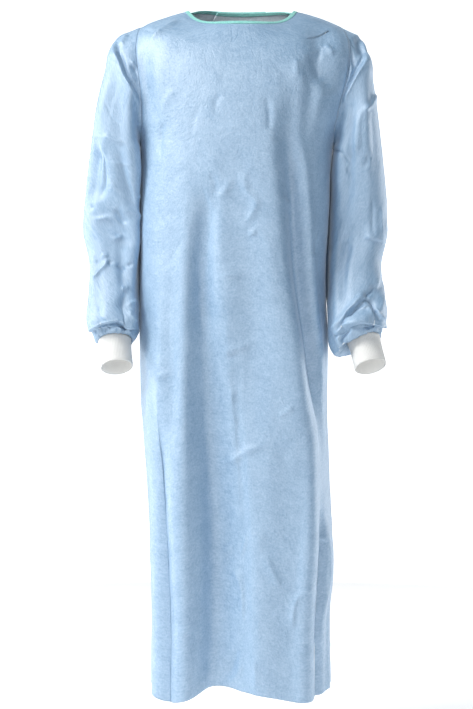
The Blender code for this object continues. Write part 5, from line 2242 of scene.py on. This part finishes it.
@dataclass
class WaistTapes:
    """The two tapes across the back, their knot and their hanging ends."""

    body: BodyForm

    ROWS = 9
    LENGTH_STEPS, TAIL_STEPS, KNOT_STEPS, KNOT_COLUMNS = 60, 80, 180, 14
    LEAST_SHARE = 0.3           # of a tape's flat cut, that a tape's worked-out area may come down to; the result is not used
    NARROWING, NARROW_FROM = 0.42, 0.45         # a tape is drawn together towards the knot
    PLEATS, PLEAT_HEIGHT, PLEAT_FROM = 1.5, 1.3, 0.5
    TAIL_NARROWING, TAIL_NARROW_TO = 0.45, 0.08
    TAIL_SWAY, TAIL_CURL, TAIL_WAVE = 0.9, 0.9, 0.5
    STRAND_WIDTH, STRAND_HEIGHT = 4.3, 1.9      # half of the wound tape's section
    KNOT_PULL = 0.12
    BOX_LENGTH, BOX_HALF = 5.5, 0.36            # degrees, and shares of the tape's width
    BOX_INSET, BOX_STEPS = 1.2, 8
    STITCH_LIFT = 0.6

    def tape(self, name: str, steps: tuple[int, int], rises: bool, finishes: Finishes) -> None:
        """A tape along the back, from where it is sewn to the knot.

        Args:
            name: Of the piece; its solid has the name without the ending.
            steps: Its ends, in steps along a back.
            rises: Whether it rises towards its last end.
            finishes: The gown's finishes.
        """
        share = np.linspace(0.0, 1.0, self.LENGTH_STEPS)[None]
        angle = blend(self.body.back_angle(steps[0]), self.body.back_angle(steps[1]), share)
        taut = share if rises else 1.0 - share
        narrow = (taut - self.NARROW_FROM) / (1.0 - self.NARROW_FROM)
        narrow = 1.0 - self.NARROWING * smooth_step(narrow)
        edge = np.linspace(-0.5, 0.5, self.ROWS)[:, None]
        row = self.body.row_at(TIE_HEIGHT + edge * TIE_WIDTH * narrow)
        pleat = smooth_step((taut - self.PLEAT_FROM) / (1.0 - self.PLEAT_FROM))
        pleat = self.PLEAT_HEIGHT * np.cos(edge * math.tau * self.PLEATS) * pleat
        angle, row = np.broadcast_arrays(angle, row)
        lift = self.body.surface_lift(angle) + TIE_REST + CLOTH_WALL + TIE_RISE * taut + pleat
        grid = ClothGrid(self.body.lifted(angle, row, lift), False, 1)
        item = add_cloth(name, name.removesuffix("_cloth"), grid, finishes)
        length = float(grid.across()[self.ROWS // 2, -1]) * MM
        max(grid.area(), self.LEAST_SHARE * TIE_WIDTH * MM * length)

    def tail(self, name: str, slant: float, rest: float, wave: float, finishes: Finishes) -> None:
        """A tape's free end, hanging from the knot.

        Args:
            name: Of the piece; its solid has the name without the ending.
            slant: Degrees that it hangs to one side.
            rest: How far outside the back.
            wave: Where its waves start.
            finishes: The gown's finishes.
        """
        knot = self.knot_angle()
        share = np.linspace(1.0, 0.0, self.TAIL_STEPS)[:, None]
        top = TIE_HEIGHT - KNOT_HEIGHT / 2.0 - 1.0
        row = self.body.row_at(top - TAIL_LENGTH * share)
        middle = knot + slant * blend(TAIL_START, 1.0, share)
        middle = middle + self.TAIL_SWAY * np.sin(share * 7.0 + wave) * share
        radius = np.linalg.norm(self.body.point(middle, row)[..., :2], axis=-1)
        narrow = 1.0 - self.TAIL_NARROWING * np.exp(-(share / self.TAIL_NARROW_TO) ** 2)
        half = np.degrees(TAIL_WIDTH / 2.0 / radius) * narrow
        edge = np.linspace(-1.0, 1.0, self.ROWS)[None]
        angle, row = np.broadcast_arrays(middle + edge * half, row)
        curl = self.TAIL_CURL * edge ** 2 * np.sin(share * 9.0 + wave)
        curl = curl + self.TAIL_WAVE * np.sin(share * 13.0 + wave)
        lift = self.body.surface_lift(middle + 0.0 * edge) + rest + CLOTH_WALL + curl
        grid = ClothGrid(self.body.lifted(angle, row, lift), False, 1)
        item = add_cloth(name, name.removesuffix("_cloth"), grid, finishes)

    def knot_angle(self) -> float:
        """Angle of the knot's middle."""
        left = self.body.back_angle(LEFT_TIE_STEPS[1])
        return (left + self.body.back_angle(RIGHT_TIE_STEPS[0])) / 2.0

    def knot(self, name: str, finishes: Finishes) -> None:
        """The knot: a folded tape wound through itself.

        Args:
            name: Of the piece.
            finishes: The gown's finishes.
        """
        ends = np.array([self.body.back_angle(LEFT_TIE_STEPS[1]),
                         self.body.back_angle(RIGHT_TIE_STEPS[0])])
        row = self.body.row_at(np.array([TIE_HEIGHT, TIE_HEIGHT]))
        lift = np.full(2, TIE_REST + CLOTH_WALL / 2.0 + TIE_RISE)
        left, right = self.body.lifted(ends, row, lift)
        along = unit(right - left)
        width = float(np.linalg.norm(right - left)) - KNOT_PLAY
        up = np.array((0.0, 0.0, 1.0))
        out = unit(np.cross(along, up))
        turns = round_turns(self.KNOT_STEPS)
        path = np.stack([
            (np.sin(turns) + 2.0 * np.sin(2.0 * turns)) / 3.0 * (width / 2.0 - 1.5),
            (np.cos(turns) - 2.0 * np.cos(2.0 * turns)) / 3.0 * (KNOT_HEIGHT / 2.0 - 3.0),
            -np.sin(3.0 * turns) * (KNOT_THICKNESS / 2.0 - 2.6),
        ], -1)
        ahead = unit(np.roll(path, -1, axis=0) - np.roll(path, 1, axis=0))
        flat_out = unit(np.cross(ahead, up))
        face = np.cross(flat_out, ahead)
        around = round_turns(self.KNOT_COLUMNS)
        fold = 1.0 + self.KNOT_PULL * np.cos(3.0 * around)
        ring = (flat_out[:, None] * (np.cos(around) * self.STRAND_WIDTH * fold)[None, :, None]
                + face[:, None] * (np.sin(around) * self.STRAND_HEIGHT * fold)[None, :, None])
        local = path[:, None] + ring
        middle = (left + right) / 2.0
        world = (middle + local[..., :1] * along + local[..., 1:2] * up + local[..., 2:] * out)
        grid = ClothGrid(np.concatenate([world, world[:1]]), True, 1)
        item = add_object(name, grid.mesh(name), (finishes.outside,))
        weld_ends(item)
        stand_for(item, "waist_knot")

    def build(self, finishes: Finishes, stitches: StitchTree) -> None:
        """Make the tapes, the knot, the ends and the stitches where the tapes are sewn on.

        Args:
            finishes: The gown's finishes.
            stitches: What lays the stitches.
        """
        self.tape("waist_tie_left_cloth", LEFT_TIE_STEPS, True, finishes)
        self.tape("waist_tie_right_cloth", RIGHT_TIE_STEPS, False, finishes)
        self.knot("waist_knot_cloth", finishes)
        for name, slant, rest, wave in zip(("tie_tail_left_cloth", "tie_tail_right_cloth"),
                                           TAIL_SLANTS, TAIL_RESTS, (0.4, 2.2)):
            self.tail(name, slant, rest, wave, finishes)
        lines = [self.box_line(LEFT_TIE_STEPS[0], 1.0), self.box_line(RIGHT_TIE_STEPS[1], -1.0)]
        thread = stitches.lay("tape_stitches", lines, 0.0028, 0.0020, 0.0004,
                              finishes.seam_thread)
        stand_for(thread, None)
        LOG.info("waist tapes, knot and ends")

    def box_line(self, step: int, ahead: float) -> Array:
        """A closed box of stitching on a tape's sewn end.

        Args:
            step: Of the sewn end, along a back.
            ahead: 1 or -1, the way the tape runs.

        Returns:
            Its points, in metres.
        """
        start = self.body.back_angle(step) + ahead * self.BOX_INSET
        far, half = self.BOX_LENGTH, self.BOX_HALF
        corners = [(0.0, -half), (far, -half), (far, half), (0.0, half), (0.0, -half), (far, half)]
        places = []
        for (a, low), (b, high) in zip(corners, corners[1:]):
            for share in np.linspace(0.0, 1.0, self.BOX_STEPS + 1)[:-1]:
                places.append((start + ahead * blend(a, b, share),
                               TIE_HEIGHT + TIE_WIDTH * blend(low, high, share)))
        angle, z = np.array(places).T
        lift = self.body.surface_lift(angle) + TIE_REST + CLOTH_WALL + self.STITCH_LIFT
        return self.body.lifted(angle, self.body.row_at(z), lift) * MM


# ---- studio ----------------------------------------------------------------
@dataclass
class Softbox:
    """A soft rectangular light that looks at a point."""

    name: str
    place: tuple[float, float, float]
    target: tuple[float, float, float]
    size: tuple[float, float]
    power: float
    colour: Colour = (1.0, 1.0, 1.0)

    def build(self) -> None:
        """Add the light."""
        data = bpy.data.lights.new(self.name, "AREA")
        data.shape = "RECTANGLE"
        data.size, data.size_y = self.size
        data.energy = self.power
        data.color = self.colour
        light = add_object(self.name, data)
        ahead = Vector(self.target) - Vector(self.place)
        light.location = self.place
        light.rotation_euler = ahead.to_track_quat("-Z", "Y").to_euler()


class Studio:
    """Floor, ground behind, lights and camera."""

    FLOOR_DROP = 0.10           # below the hem
    FLOOR_RADIUS = 2.1
    FLOOR_CORNERS = 128
    GROUND_RADIUS, GROUND_STEPS = 14000.0, 24
    WORLD_COLOUR, WORLD_STRENGTH = (0.70, 0.86, 1.0, 1.0), 0.15
    SENSOR_HEIGHT = 24.0
    LIGHTS = (
        Softbox("front", (0.4, -3.6, 0.9), (0.0, 0.0, -0.5), (2.0, 1.6), 45.0),
        Softbox("front_low", (0.2, -3.4, -1.1), (0.0, 0.0, -0.9), (2.0, 0.6), 10.0),
        Softbox("left_graze", (-3.2, -0.6, -0.1), (0.0, 0.0, -0.3), (1.0, 2.0), 28.0),
        Softbox("left_high", (-2.2, -1.4, 1.6), (0.0, 0.0, -0.5), (1.4, 1.4), 130.0,
                (1.0, 0.985, 0.955)),
        Softbox("left_rim", (-2.3, 1.2, -0.5), (0.0, 0.0, -0.6), (0.9, 2.6), 42.0),
        Softbox("right_side", (3.0, -0.6, -0.5), (0.0, 0.0, -0.6), (1.2, 2.6), 5.0),
        Softbox("right_rim", (2.3, 1.2, -0.5), (0.0, 0.0, -0.6), (0.9, 2.6), 50.0),
    )

    def build(self) -> None:
        """Set the studio up."""
        self.floor(CAD_BOX[0][2] - self.FLOOR_DROP)
        self.ground_behind()
        for light in self.LIGHTS:
            light.build()
        self.world()
        self.camera()
        LOG.info("studio")

    def floor(self, height: float) -> None:
        """A plain pale floor, round.

        Args:
            height: In metres.
        """
        mesh = bpy.data.meshes.new("floor")
        turns = round_turns(self.FLOOR_CORNERS)
        rim = [(self.FLOOR_RADIUS * math.cos(turn), self.FLOOR_RADIUS * math.sin(turn), height)
               for turn in turns]
        mesh.from_pydata(rim, [], [tuple(range(self.FLOOR_CORNERS))])
        finish = PlainFinish("pale_floor", (0.95, 0.95, 0.95), 0.35).material()
        add_object("floor", mesh, (finish,))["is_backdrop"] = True

    def ground_behind(self) -> None:
        """A white ball around everything that only the camera sees."""
        finish = PlainFinish("white_ground", (1.0, 1.0, 1.0), 1.2).material()
        steps = self.GROUND_STEPS
        tilt = (math.pi * np.arange(1, steps) / steps)[:, None]
        turn = round_turns(2 * steps)
        ball = np.stack([np.sin(tilt) * np.cos(turn), np.sin(tilt) * np.sin(turn),
                         np.cos(tilt) + 0.0 * turn], -1)
        grid = ClothGrid(ball * self.GROUND_RADIUS, True, 1)
        ball = add_object("ground_behind", grid.mesh("ground_behind"), (finish,))
        for kind in ("diffuse", "glossy", "transmission", "shadow", "volume_scatter"):
            setattr(ball, f"visible_{kind}", False)
        ball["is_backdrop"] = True

    def world(self) -> None:
        """Even soft light from all round."""
        world = bpy.data.worlds.new("studio")
        world.use_nodes = True
        ground = world.node_tree.nodes["Background"]
        ground.inputs["Color"].default_value = self.WORLD_COLOUR
        ground.inputs["Strength"].default_value = self.WORLD_STRENGTH
        bpy.context.scene.world = world

    def camera(self) -> None:
        """The camera, level, in front of the gown."""
        data = bpy.data.cameras.new("camera")
        data.sensor_fit = "VERTICAL"
        data.sensor_height = self.SENSOR_HEIGHT
        data.lens = self.SENSOR_HEIGHT / 2.0 / math.tan(math.radians(VIEW_HEIGHT_ANGLE) / 2.0)
        camera = add_object("camera", data)
        camera.location = VIEWER
        camera.rotation_euler = (math.pi / 2.0, 0.0, 0.0)
        bpy.context.scene.camera = camera
        bpy.context.scene.view_settings.view_transform = "Standard"


def main() -> None:
    """Build the gown's looks and its studio."""
    logging.basicConfig(level=logging.INFO, format="%(name)s: %(message)s")
    finishes, stitches, body = Finishes(), StitchTree(), BodyForm()
    Studio().build()
    front = FrontPanel("front_cloth", "front_panel", 11, Flat(0.56, 1.28, 0.64), 90, body)
    backs = (
        BackPanel("back_inner_cloth", "back_panel_left", 23, Flat(0.41, 1.30, 0.44), 70, body,
                  1, False),
        BackPanel("back_outer_cloth", "back_panel_right", 37, Flat(0.42, 1.30, 0.45), 70, body,
                  -1, True),
    )
    left, right = SleeveForm(1, body), SleeveForm(-1, body)
    nearer = SideMove(-556.0, 16.0, 1.5)
    sleeves = (
        Sleeve("sleeve_left_cloth", "sleeve_left", 1, 41, Flat(0.42, 0.62, 0.21), left,
               LEFT_SLEEVE_CREASES, mirrored(RIGHT_SLEEVE_CREASES, 6.0), 3.0, (nearer,)),
        Sleeve("sleeve_right_cloth", "sleeve_right", -1, 59, Flat(0.42, 0.62, 0.21), right,
               RIGHT_SLEEVE_CREASES, mirrored(LEFT_SLEEVE_CREASES, -4.0), 4.4,
               (nearer, SideMove(-593.0, 14.0, -2.5))),
    )
    for piece in (front, *backs, *sleeves):
        item = piece.build(finishes)
    for name, form in (("left", left), ("right", right)):
        item = Cuff(f"cuff_{name}_knit", f"cuff_{name}", form).build(finishes)
    binding = Binding("neck_binding_tape", "neck_binding", body)
    binding.build(finishes, stitches)
    WaistTapes(body).build(finishes, stitches)
    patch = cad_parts["neck_fastener"]
    patch.data.materials.clear()
    patch.data.materials.append(finishes.hooks)


if __name__ == "__main__":
    main()
